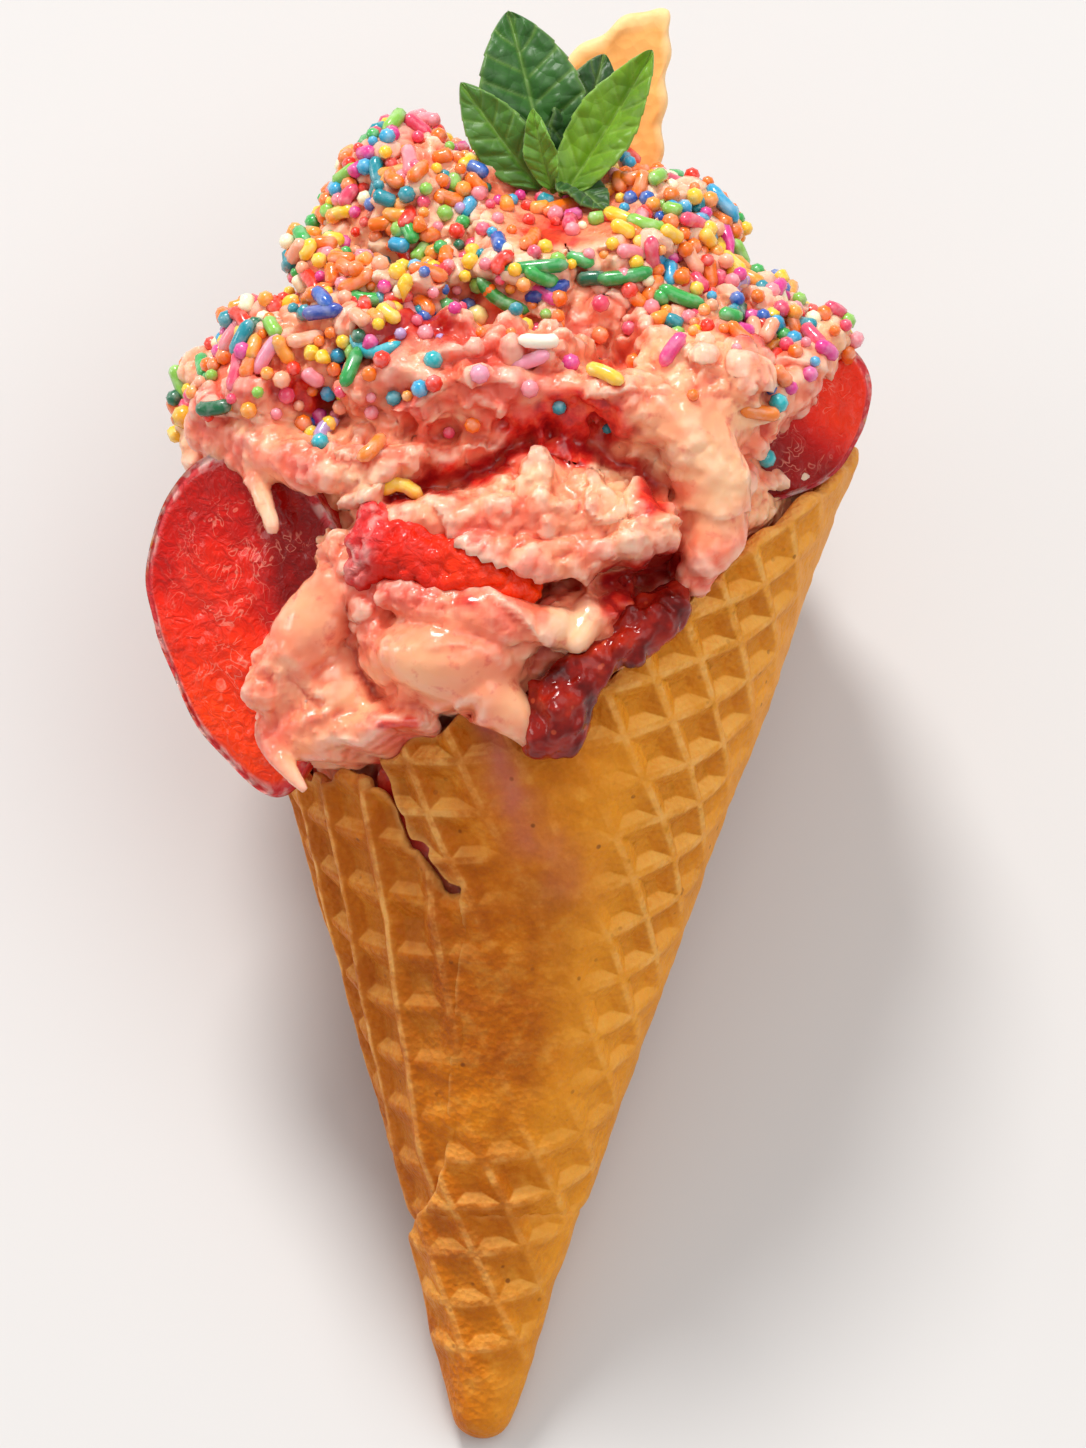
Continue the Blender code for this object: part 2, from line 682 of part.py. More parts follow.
def biscuit(parts):
    """A thin butter biscuit with a crimped edge, stuck in upright behind the mint."""
    bm = bmesh.new()
    outline = []
    for number, (x0, y0) in enumerate(BISCUIT_CORNERS):
        x1, y1 = BISCUIT_CORNERS[(number + 1) % len(BISCUIT_CORNERS)]
        length = math.hypot(x1 - x0, y1 - y0)
        steps = max(2, round(length / 2.0))
        for step in range(steps):
            share = step / steps
            crimp = CRIMP_DEPTH * math.sin(math.pi * share * max(1, round(length / CRIMP_PITCH))) ** 2
            nx, ny = (y1 - y0) / length, -(x1 - x0) / length
            outline.append((x0 + (x1 - x0) * share - nx * crimp, y0 + (y1 - y0) * share - ny * crimp))
    verts = [bm.verts.new((x, y, BISCUIT_BACK)) for x, y in outline]
    face = bm.faces.new(verts)
    moved = bmesh.ops.extrude_face_region(bm, geom=[face])["geom"]
    top = [v for v in moved if isinstance(v, bmesh.types.BMVert)]
    bmesh.ops.translate(bm, vec=(0, 0, BISCUIT_THICKNESS), verts=top)
    bmesh.ops.recalc_face_normals(bm, faces=bm.faces)
    obj = object_from(bm, "biscuit", parts)
    bevel = obj.modifiers.new("Bevel", "BEVEL")
    bevel.width = 0.7 * MM
    bevel.segments = 1
    bevel.limit_method = "ANGLE"
    bevel.angle_limit = math.radians(60)
    apply_modifiers(obj)
    return obj


def table_block(cutters):
    """Everything below the surface that the serving lies on, in the cone's own frame."""
    bm = bmesh.new()
    size = 600.0
    sunk = REST_FLAT - size / 2
    turn_back = Matrix.Rotation(-TILT, 4, "X")
    place = turn_back @ Matrix.Translation((0, 100, sunk)) @ Matrix.Diagonal((size, size, size, 1))
    bmesh.ops.create_cube(bm, size=1.0, matrix=place)
    return object_from(bm, "table", cutters)


def shaded(obj, paint):
    obj.data.materials.clear()
    obj.data.materials.append(paint)
    for face in obj.data.polygons:
        face.material_index = 0
    obj.data.shade_smooth()
    obj.data.set_sharp_from_angle(angle=math.radians(40))


def lay_down(objects):
    """Turns the cone onto its side, its lowest ridge on the table, and centres it over the origin."""
    serving = bpy.data.objects.new("serving", None)
    bpy.context.scene.collection.objects.link(serving)
    turn = Matrix.Rotation(TILT, 4, "X")
    corners = [turn @ vert.co for obj in objects for vert in obj.data.vertices]
    low = [min(c[axis] for c in corners) for axis in range(3)]
    high = [max(c[axis] for c in corners) for axis in range(3)]
    serving.rotation_euler = (TILT, 0, 0)
    serving.location = (-(low[0] + high[0]) / 2, -(low[1] + high[1]) / 2, -low[2])
    for obj in objects:
        obj.parent = serving


def main():
    clear_scene()
    parts = new_collection("strawberry_ice_cream_cone")
    cutters = new_collection("cutters", hidden=True)

    cone = waffle_cone(parts, cutters)
    cone_room = cone_clearance(cutters)
    berries = [strawberry(name, parts) for name in BERRIES]
    jam = jam_run(parts)
    sprig = mint_sprig("mint_sprig", parts)
    wafer = biscuit(parts)
    core = ice_cream_core(parts)

    rooms = [grown(obj, GAP + 0.1, obj.name + "_room", cutters) for obj in (*berries, wafer)]
    fine_rooms = [grown(jam, GAP, "jam_room", cutters), mint_sprig("mint_room", cutters, GAP)]
    for obj in (*berries, jam):
        boolean(obj, cone_room, "DIFFERENCE")
        keep_largest(obj)
    boolean(jam, rooms[0], "DIFFERENCE")
    boolean(core, cone_room, "DIFFERENCE")
    for room in rooms:
        boolean(core, room, "DIFFERENCE")
    keep_largest(core)
    thinned(core, CUT_CORE_TRIANGLES)
    for room in fine_rooms:
        boolean(core, room, "DIFFERENCE")
    keep_largest(core)
    sprinkled(core, [*berries, jam, sprig, wafer, cone])

    table = table_block(cutters)
    pieces = [cone, core, *berries, jam, sprig, wafer]
    for obj in (cone, core, berries[0], berries[1]):
        boolean(obj, table, "DIFFERENCE")
        keep_largest(obj)
    remove(cone_room, table, *rooms, *fine_rooms)

    paints = {
        "waffle_cone": material("waffle", COLOURS["waffle"], 0.6),
        "ice_cream": material("ice_cream", COLOURS["ice_cream"], 0.35),
        "berry_jam": material("jam", COLOURS["jam"], 0.2),
        "mint_sprig": material("mint", COLOURS["mint"], 0.5),
        "biscuit": material("biscuit", COLOURS["biscuit"], 0.7),
    }
    red = material("strawberry", COLOURS["strawberry"], 0.25)
    for obj in pieces:
        shaded(obj, paints.get(obj.name, red))
    lay_down(pieces)


main()
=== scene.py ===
from functools import partial

import bpy
import numpy as np
from mathutils import Matrix
from mathutils.bvhtree import BVHTree


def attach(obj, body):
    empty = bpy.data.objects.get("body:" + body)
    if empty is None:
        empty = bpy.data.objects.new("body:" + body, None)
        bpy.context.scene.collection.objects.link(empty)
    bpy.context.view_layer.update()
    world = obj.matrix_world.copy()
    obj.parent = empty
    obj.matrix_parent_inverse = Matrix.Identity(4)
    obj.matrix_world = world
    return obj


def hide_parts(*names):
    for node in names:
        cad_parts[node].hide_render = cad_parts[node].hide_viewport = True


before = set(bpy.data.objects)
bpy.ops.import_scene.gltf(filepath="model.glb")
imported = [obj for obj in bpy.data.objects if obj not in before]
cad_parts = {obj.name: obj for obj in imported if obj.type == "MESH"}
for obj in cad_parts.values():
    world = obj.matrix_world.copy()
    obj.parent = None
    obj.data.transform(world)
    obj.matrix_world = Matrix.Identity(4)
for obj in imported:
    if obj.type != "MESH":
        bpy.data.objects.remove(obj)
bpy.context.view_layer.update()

coneSlope = 0.326  # radius over length along the axis
coneTilt = np.arctan(coneSlope)  # half the cone's angle, and the turn that lays its side on the table
layDown = {"across": 0.2801, "along": -96.4291, "up": -0.35}  # mm
rng = np.random.default_rng(7)


# Numbers

def laidDown(points):
    # the cone's frame in mm to the world in metres: turned about x by the cone's slope, then moved; none sinks below 0
    x, y, z = np.moveaxis(np.asarray(points, float), -1, 0)
    cosine, sine = np.cos(coneTilt), np.sin(coneTilt)
    up = y * sine + z * cosine + layDown["up"]
    world = [x + layDown["across"], y * cosine - z * sine + layDown["along"], np.maximum(up, 0.0)]
    return np.stack(world, -1) * 0.001


def smoothStep(value, low, high):
    # 0 below low, 1 above high, an even S between them
    share = np.clip((value - low) / (high - low), 0.0, 1.0)
    return share * share * (3 - 2 * share)


def chance(cells, seed):
    # whole-number cells to an even spread from 0 to 1, the same each run
    n = cells.astype(np.int64)
    mixed = (n[..., 0] * 73856093) ^ (n[..., 1] * 19349663) ^ (n[..., 2] * 83492791) ^ (seed * 97531 + 1013)
    mixed &= 0xFFFFFFFF
    mixed = ((mixed ^ (mixed >> 13)) * 1274126177) & 0xFFFFFFFF
    mixed = ((mixed ^ (mixed >> 16)) * 1103515245) & 0xFFFFFFFF
    return ((mixed ^ (mixed >> 15)) & 0xFFFFFF) / 0xFFFFFF


def swells(points, size, seed=0):
    # gradient noise, about -1 to 1: each corner of a cell leans its own way, and the eight are blended by a quintic
    scaled = np.asarray(points) / size
    base = np.floor(scaled)
    inside = scaled - base
    weight = inside ** 3 * (inside * (inside * 6 - 15) + 10)
    total = np.zeros(scaled.shape[:-1])
    for corner in np.ndindex(2, 2, 2):
        corner = np.array(corner)
        lean = np.stack([chance(base + corner, seed + 31 * axis) for axis in range(3)], -1) * 2 - 1
        total += ((inside - corner) * lean).sum(-1) * np.where(corner == 1, weight, 1 - weight).prod(-1)
    return total * 1.7


def swellSum(points, layers):
    # swells of several heights, sizes and seeds on top of one another
    return sum(high * swells(points, size, seed) for high, size, seed in layers)


def grains(points, size, seed=0):
    # distance to the nearest of one random point in each cell, 0 to about 1
    scaled = np.asarray(points) / size
    base = np.floor(scaled)
    nearest = np.full(scaled.shape[:-1], 9.0)
    for step in np.ndindex(3, 3, 3):
        cell = base + np.array(step) - 1
        spot = cell + np.stack([chance(cell, seed + 57 * axis) for axis in range(3)], -1)
        nearest = np.minimum(nearest, np.linalg.norm(spot - scaled, axis=-1))
    return nearest


def caps(points, size, seed, level):
    # round caps, one in each cell: the root of the level less the squared distance to the nearest middle
    return np.sqrt(np.clip(level - grains(points, size, seed) ** 2, 0, 1))


def halfRound(share):
    # 0 at an edge to 1 inside it, along a quarter of a circle
    return np.sqrt(np.clip(1 - (1 - share) ** 2, 0, 1))


def unit(vectors):
    return vectors / np.maximum(np.linalg.norm(vectors, axis=-1, keepdims=True), 1e-9)


def lineSpots(line, count):
    # points in the view, evenly shared out over the corners of a broken line
    line, shares = np.array(line, float), np.linspace(0, 1, count)
    return np.stack([np.interp(shares, np.linspace(0, 1, len(line)), line[:, axis]) for axis in range(2)], -1)


def patch(points, centre, radius, stretch=(1, 1, 1)):
    # a soft round patch of 1 at its centre, fading to 0
    offset = (points - np.array(centre, float)) / (radius * np.array(stretch, float))
    return np.exp(-(offset ** 2).sum(-1) * 1.6)


def patches(points, places):
    return np.clip(sum(patch(points, *p) for p in places), 0, 1)


def onBall(polar, turn):
    # points of a ball of 1, by their polar angle and turn
    return np.stack(np.broadcast_arrays(np.sin(polar) * np.cos(turn), np.sin(polar) * np.sin(turn), np.cos(polar)), -1)


def along(path, places):
    # points and sizes read off a broken line at shares 0 to 1 of its length, rounded by a short running mean
    path = np.asarray(path, float)
    length = np.concatenate([[0], np.cumsum(np.linalg.norm(np.diff(path[:, :3], axis=0), axis=1))])
    length /= length[-1]
    reach = np.linspace(-0.06, 0.06, 5)
    shares = np.clip(np.asarray(places)[:, None] + reach, 0, 1)
    return np.stack([np.interp(shares, length, path[:, axis]).mean(-1) for axis in range(path.shape[1])], -1)


# Meshes

def roundFaces(rows, columns):
    # corners of a closed tube: a pole, rows of a ring each, a pole; triangles at the poles, quads between
    ring = np.arange(columns)
    after = (ring + 1) % columns
    start = 1 + np.arange(rows - 1)[:, None] * columns
    quads = np.stack([start + ring, start + after, start + columns + after, start + columns + ring], -1)
    last = 1 + (rows - 1) * columns
    lowTip = np.stack([np.zeros(columns, int), 1 + after, 1 + ring], -1)
    highTip = np.stack([np.full(columns, last + columns), last + ring, last + after], -1)
    return [quads.reshape(-1, 4), lowTip, highTip]


def sheetFaces(rows, columns):
    # corners of two grids, outer then inner, that share their four borders, so the sheet is closed
    outer = np.arange(rows * columns).reshape(rows, columns)
    inner = outer + rows * columns
    inner[[0, -1], :] = outer[[0, -1], :]
    inner[:, [0, -1]] = outer[:, [0, -1]]
    quads = [np.stack([g[:-1, :-1], g[:-1, 1:], g[1:, 1:], g[1:, :-1]], -1).reshape(-1, 4) for g in (outer, inner)]
    return [np.concatenate([quads[0], quads[1][:, ::-1]])]


def putMesh(name, points, faceSets, attributes=None, replaced=None):
    # whole arrays to a closed mesh at its place; faces are turned outwards where the volume comes out negative
    points = np.asarray(points, float).reshape(-1, 3)
    used = np.unique(np.concatenate([faces.ravel() for faces in faceSets]))
    lookup = np.full(len(points), -1)
    lookup[used] = np.arange(len(used))
    faceSets = [lookup[faces] for faces in faceSets]
    points = points[used]
    volume = 0.0
    for faces in faceSets:
        a = points[faces[:, 0]]
        for step in range(1, faces.shape[1] - 1):
            volume += (a * np.cross(points[faces[:, step]], points[faces[:, step + 1]])).sum()
    if volume < 0:
        faceSets = [faces[:, ::-1] for faces in faceSets]
    counts = np.concatenate([np.full(len(faces), faces.shape[1]) for faces in faceSets])
    corners = np.concatenate([faces.ravel() for faces in faceSets]).astype(np.int32)
    mesh = bpy.data.meshes.new(name)
    mesh.vertices.add(len(points))
    mesh.vertices.foreach_set("co", laidDown(points).astype(np.float32).ravel())
    mesh.loops.add(len(corners))
    mesh.loops.foreach_set("vertex_index", corners)
    mesh.polygons.add(len(counts))
    mesh.polygons.foreach_set("loop_start", np.concatenate([[0], np.cumsum(counts)[:-1]]).astype(np.int32))
    mesh.update(calc_edges=True)
    mesh.shade_smooth()
    for key, values in (attributes or {}).items():
        values = np.asarray(values, np.float32).reshape(lookup.size, -1)[used]
        if values.shape[1] == 1:
            mesh.attributes.new(key, "FLOAT", "POINT").data.foreach_set("value", values.ravel())
        elif values.shape[1] == 3:
            colours = np.hstack([values, np.ones((len(values), 1))])
            mesh.attributes.new(key, "FLOAT_COLOR", "POINT").data.foreach_set("color", colours.ravel())
        else:
            mesh.uv_layers.new(name=key).data.foreach_set("uv", values[corners].ravel())
    piece = bpy.data.objects.new(name, mesh)
    bpy.context.scene.collection.objects.link(piece)
    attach(piece, "root")
    if replaced:
        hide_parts(replaced)
    return piece


def manyFaces(count, rows, columns):
    # the faces of many closed tubes of one kind, each with its own run of points
    shift = (np.arange(count) * (rows * columns + 2))[:, None, None]
    return [(faces[None] + shift).reshape(-1, faces.shape[1]) for faces in roundFaces(rows, columns)]


def ballCloud(centres, radii, rows=13, columns=24):
    # many closed balls as one set of arrays: polar angle by rows, turn by columns
    polar = np.pi * np.arange(1, rows + 1) / (rows + 1)
    ring = onBall(polar[:, None], 2 * np.pi * np.arange(columns) / columns)
    ball = np.concatenate([[[0, 0, 1]], ring.reshape(-1, 3), [[0, 0, -1]]])
    radii = np.broadcast_to(np.asarray(radii, float).reshape(len(centres), -1), (len(centres), 3))
    points = np.asarray(centres)[:, None] + ball[None] * radii[:, None]
    return points.reshape(-1, 3), manyFaces(len(centres), rows, columns)


def fused(points, faceSets, voxel):
    # overlapping closed forms joined into one skin by a voxel remesh; gives points, normals and quads
    mesh = bpy.data.meshes.new("joining")
    mesh.from_pydata(points.tolist(), [], [face for faces in faceSets for face in faces.tolist()])
    lump = bpy.data.objects.new("joining", mesh)
    bpy.context.scene.collection.objects.link(lump)
    remesh = lump.modifiers.new("Remesh", "REMESH")
    remesh.mode = "VOXEL"
    remesh.voxel_size = voxel
    done = bpy.data.meshes.new_from_object(lump.evaluated_get(bpy.context.evaluated_depsgraph_get()))
    bpy.data.objects.remove(lump)
    skin, normals = np.empty(len(done.vertices) * 3), np.empty(len(done.vertices) * 3)
    done.vertices.foreach_get("co", skin)
    done.vertex_normals.foreach_get("vector", normals)
    quads = np.empty(len(done.loops), np.int32)
    done.loops.foreach_get("vertex_index", quads)
    bpy.data.meshes.remove(done)
    return skin.reshape(-1, 3), normals.reshape(-1, 3), quads.reshape(-1, 4)


def skinTree(points, faceSets):
    return BVHTree.FromPolygons(points.tolist(), [face for faces in faceSets for face in faces.tolist()])


def normalsOf(points, quads):
    # each corner takes the sum of its faces' cross products
    cross = np.cross(points[quads[:, 2]] - points[quads[:, 0]], points[quads[:, 3]] - points[quads[:, 1]])
    total = np.zeros_like(points)
    for corner in range(4):
        for axis in range(3):
            total[:, axis] += np.bincount(quads[:, corner], cross[:, axis], len(points))
    return unit(total)


# Materials

def linear(colour):
    # an sRGB hex colour to the linear numbers that Blender's sockets take
    parts = np.array([int(colour[i:i + 2], 16) for i in (1, 3, 5)]) / 255
    return (*np.where(parts <= 0.04045, parts / 12.92, ((parts + 0.055) / 1.055) ** 2.4), 1.0)


def addNode(material, kind, inputs=None, stops=None, **settings):
    # one node with its settings; an input is a value, a socket, or a node whose first output feeds it
    tree = material.node_tree
    node = tree.nodes.new("ShaderNode" + kind)
    for key, value in settings.items():
        setattr(node, key, value)
    for key, value in (inputs or {}).items():
        if isinstance(value, bpy.types.Node):
            value = value.outputs[0]
        if isinstance(value, bpy.types.NodeSocket):
            tree.links.new(value, node.inputs[key])
        else:
            node.inputs[key].default_value = linear(value) if isinstance(value, str) else value
    if stops:
        while len(node.color_ramp.elements) < len(stops):
            node.color_ramp.elements.new(0.5)
        for element, (place, colour) in zip(node.color_ramp.elements, stops):
            element.position = place
            element.color = linear(colour) if isinstance(colour, str) else (colour, colour, colour, 1.0)
    return node


def newMaterial(name, **inputs):
    # a material whose shader takes the given values, and the function that adds a node to it
    material = bpy.data.materials.new(name)
    material.use_nodes = True
    shader = material.node_tree.nodes["Principled BSDF"]
    for key, value in inputs.items():
        shader.inputs[key.replace("_", " ")].default_value = linear(value) if isinstance(value, str) else value
    return material, partial(addNode, material)


def layered(add, colour, layers):
    # further colours over a first one, each by its share times a strength
    for share, strength, over in layers:
        shown = add("Math", {0: share, 1: strength}, operation="MULTIPLY")
        colour = add("MixRGB", {"Fac": shown, "Color1": colour, "Color2": over})
    return colour


def feed(material, inputs):
    # nodes into the shader's own sockets
    tree = material.node_tree
    for key, node in inputs.items():
        tree.links.new(node.outputs[0], tree.nodes["Principled BSDF"].inputs[key])
    return material


# Waffle cone: two turns of a pressed sheet and its closed tip

waffleValues = {
    "pocketDepth": 1.9, "ridgeHalf": 0.35, "bevelWidth": 2.0, "sheetWall": 2.7, "innerStep": 1.1, "coveredStep": 1.7,
    # turn of the ridges and of the rungs, their pitches, how high the rungs stand beside the ridges
    "outerLattice": (27.0, 8.0, 6.8, 6.7, 1.0), "innerLattice": (12.0, 4.0, 8.0, 7.4, 0.75), "waver": 0.6,
    "rimMean": 117.0, "rimSwing": 24.0, "rimPeak": 120.0, "dipDepth": 7.0, "dipAt": 26.0, "dipWidth": 18.0,
    "scallop": 0.7, "scallops": 29, "footAt": 34.0, "edgeRound": 1.1,
    # share of the height, turn round the cone in degrees
    "outerSeam": [
        (0.0, -58), (0.03, -53), (0.08, -43), (0.125, -34), (0.16, -27), (0.25, -23), (0.43, -17.6), (0.60, -12.5),
        (0.68, -11), (0.71, -16), (0.76, -20.2), (0.84, -26), (0.92, -30), (1.0, -31.5)],
    "innerSeam": [
        (0.0, -20), (0.15, -12), (0.35, -4), (0.58, -5), (0.67, -10.5), (0.70, -17.2), (0.76, -21.8), (0.84, -28.4),
        (0.92, -34), (1, -39.5)],
    "outerEnd": 200, "innerStart": -172,
    "stain": [(-2.5, 101), (-0.5, 95), (2, 90), (4.5, 86), (8, 82)],  # across, along
    "tipAt": 7.2, "tipRadius": 4.2, "tipTop": 38.0, "tipDepthShare": 0.8,
    # height, size and seed of each swell
    "unevenness": [(0.35, 16, 5), (0.16, 5, 6), (0.07, 1.8, 9)], "tipUnevenness": [(0.25, 8, 5), (0.1, 2.5, 9)],
}


def onCone(slant, turn, height):
    # a height off the cone's face, at a slant length from the apex and a turn round the axis
    radius = slant * np.sin(coneTilt) + height * np.cos(coneTilt)
    onAxis = slant * np.cos(coneTilt) - height * np.sin(coneTilt)
    return np.stack([radius * np.sin(turn), onAxis, radius * np.cos(turn)], -1)


def rimHeight(turn):
    # mean height plus one slow swing round the cone, a dip under the jam and small scallops
    v = waffleValues
    degrees = (np.degrees(turn) + 180) % 360 - 180
    dip = v["dipDepth"] * np.exp(-(((degrees - v["dipAt"]) / v["dipWidth"]) ** 2))
    swing = v["rimSwing"] * np.cos(turn - np.radians(v["rimPeak"]))
    return v["rimMean"] + swing - dip + v["scallop"] * np.sin(turn * v["scallops"])


def latticePlace(slant, turn, lattice):
    # the cone laid flat: the turn shrinks by the sine of its slope; then steps across the ridges and across the rungs
    angle = turn * np.sin(coneTilt)
    x, y = slant * np.sin(angle), slant * np.cos(angle)
    spot = np.stack([x, y, np.full_like(x, lattice[0])], -1)
    x = x + waffleValues["waver"] * swells(spot, 13, 3)
    y = y + waffleValues["waver"] * swells(spot, 13, 8)
    ridge, rung = np.radians(lattice[:2])
    return (x * np.cos(ridge) + y * np.sin(ridge)) / lattice[2], (y * np.cos(rung) - x * np.sin(rung)) / lattice[3]


def pressedDepth(i, j, lattice):
    # 0 on a ridge, rising along a straight bevel to 1 on the floor of a pocket
    v = waffleValues
    ridgeWall, rungWall = [
        np.clip((np.abs(steps - np.round(steps)) * pitch - v["ridgeHalf"]) / v["bevelWidth"], 0, 1)
        for steps, pitch in ((i, lattice[2]), (j, lattice[3]))]
    return np.minimum(ridgeWall, 1 - lattice[4] + lattice[4] * rungWall)


def wornShare(points):
    # how clearly the pattern is pressed: faint down the middle of the front and along the right, clear elsewhere
    x, y, z = np.moveaxis(points, -1, 0)
    middle = np.exp(-np.abs((x - 4 - 0.12 * (y - 70)) / 11) ** 3) * smoothStep(y, 42, 56) * (1 - smoothStep(y, 92, 106))
    lower = np.exp(-((x - 6) / 13) ** 2) * smoothStep(y, 42, 54) * (1 - smoothStep(y, 68, 84))
    uneven = 0.5 + 0.5 * swells(points, 16, 21) + 1.3 * (1 - smoothStep(y, 46, 66))
    rightSide = smoothStep(x / (coneSlope * y), 0.87, 0.98)
    front = np.maximum(0.88 * middle, 0.5 * lower) * (z > 0)
    return np.clip(1.0 - front - 0.25 * uneven, 0.08, 1) * (1 - 0.85 * rightSide)


def stained(points):
    # how much jam has run down the front: near a short line, thinning along it
    count = 30
    gap = np.linalg.norm(points[..., None, :2] - lineSpots(waffleValues["stain"], count), axis=-1)
    width = 1.7 + 1.8 * np.linspace(0, 1, count)
    share = np.exp(-(gap / width) ** 2) * np.linspace(1.0, 0.35, count)
    return share.max(-1) * (points[..., 2] > 0) * np.clip(0.75 + 0.5 * swells(points, 3, 17), 0, 1)


def paintedLightAndBakeShare(points):
    # painted light: lighter along the right of the front and towards the rim, darker on the left and down the middle,
    # with slow patches of uneven bake
    x, y, z = np.moveaxis(points, -1, 0)
    right = smoothStep(x - 0.12 * (y - 60), 2, 14) * (z > -8)
    return np.clip(right + 0.3 * smoothStep(y, 92, 112) + 0.3 * swells(points, 12, 23), 0, 1)


def waffleSheet(name, leftEdge, rightEdge, crestAt, lattice, columnShares, sinkFoot, rowCount=184):
    # a closed sheet between two seams, foot to rim. A point is at a share of the height and of the way round;
    # its height off the cone is the crest, less the pressed depth, and both faces meet in a half-round edge
    v = waffleValues
    edgeSteps = np.array([0, 0.0012, 0.004, 0.009])
    shares = np.concatenate([edgeSteps, np.linspace(0.015, 0.985, rowCount), 1 - edgeSteps[::-1]])[:, None]
    first, last = np.radians(leftEdge(shares)), np.radians(rightEdge(shares))
    turn = first + (last - first) * columnShares[None]
    rim = rimHeight(turn)
    length = v["footAt"] + (rim - v["footAt"]) * shares
    i, j = latticePlace(length / np.cos(coneTilt), turn, lattice)
    middleLine = onCone(length / np.cos(coneTilt), turn, np.zeros_like(turn))
    clear = wornShare(middleLine)
    level = crestAt(shares, np.degrees(turn)) + swellSum(middleLine, v["unevenness"])
    sunk = sinkFoot * (1 - smoothStep(shares, 0.0, 0.055))
    pressed = v["pocketDepth"] * pressedDepth(i, j, lattice) * clear
    top, base, middle = [level - drop - sunk for drop in (pressed, v["sheetWall"], v["sheetWall"] * 0.5)]
    radius = length * np.tan(coneTilt)
    sideways = np.minimum((turn - first) * radius, (last - turn) * radius)
    edge = np.clip(np.minimum(sideways, np.minimum(rim - length, length - v["footAt"] + 0.2)) / v["edgeRound"], 0, 1)
    faces = [middle + (face - middle) * halfRound(edge) for face in (top, base)]
    grids = [onCone((length + h * np.sin(coneTilt)) / np.cos(coneTilt), turn, h) for h in faces]
    points = np.concatenate([g.reshape(-1, 3) for g in grids])
    both = {"lattice": np.tile(np.stack([i, j], -1).reshape(-1, 2), (2, 1))}
    shown = {"clear": clear, "edge": 1 - edge, "stain": stained(middleLine), "paintedLightAndBake": paintedLightAndBakeShare(middleLine)}
    both.update({key: np.tile(values.ravel(), 2) for key, values in shown.items()})
    return putMesh(name, points, sheetFaces(*turn.shape), both, replaced="waffle_cone")


def innerCrest(share, degrees):
    # a step below the outer turn, and lower still where that lies over it
    v = waffleValues
    seam = np.interp(share, *zip(*v["outerSeam"]))
    # between the slit above and the lap below, the two turns have baked into one
    joined = smoothStep(share, 0.10, 0.20) * (1 - smoothStep(share, 0.62, 0.69)) * smoothStep(degrees - seam, -45, -6)
    covered = smoothStep(degrees - seam - 5 * joined, 0, 8) + smoothStep(-158 - degrees, 0, 6)
    return -v["innerStep"] * (1 - joined) - v["coveredStep"] * covered


def lumpyEdge(table, seed, size):
    # a seam read from its table, with the rounded lumps of batter that ran and baked
    def edge(share):
        spot = np.stack([share * 100, share * 0 + seed, share * 0], -1)
        lumps = np.abs(swells(spot, 10, seed)) * 1.7 - 0.5 + 0.25 * swells(spot, 2.6, seed + 1)
        shown = smoothStep(share, 0.58, 0.66) + 0.8 * (1 - smoothStep(share, 0.10, 0.18))
        return np.interp(share, *zip(*table)) + shown * np.degrees(size * lumps / (12 + 28 * share))
    return edge


def columnPlaces(turns, steps):
    # shares from 0 to 1 whose spacing changes at given turns, closer at both ends for the rounded edges
    places = [np.linspace(a, b, n, endpoint=False) for a, b, n in zip(turns, turns[1:], steps)]
    shares = (np.concatenate(places + [[turns[-1]]]) - turns[0]) / (turns[-1] - turns[0])
    step = shares[1]
    return np.unique(np.concatenate([shares, [step * 0.06, step * 0.3, 1 - step * 0.3, 1 - step * 0.06]]))


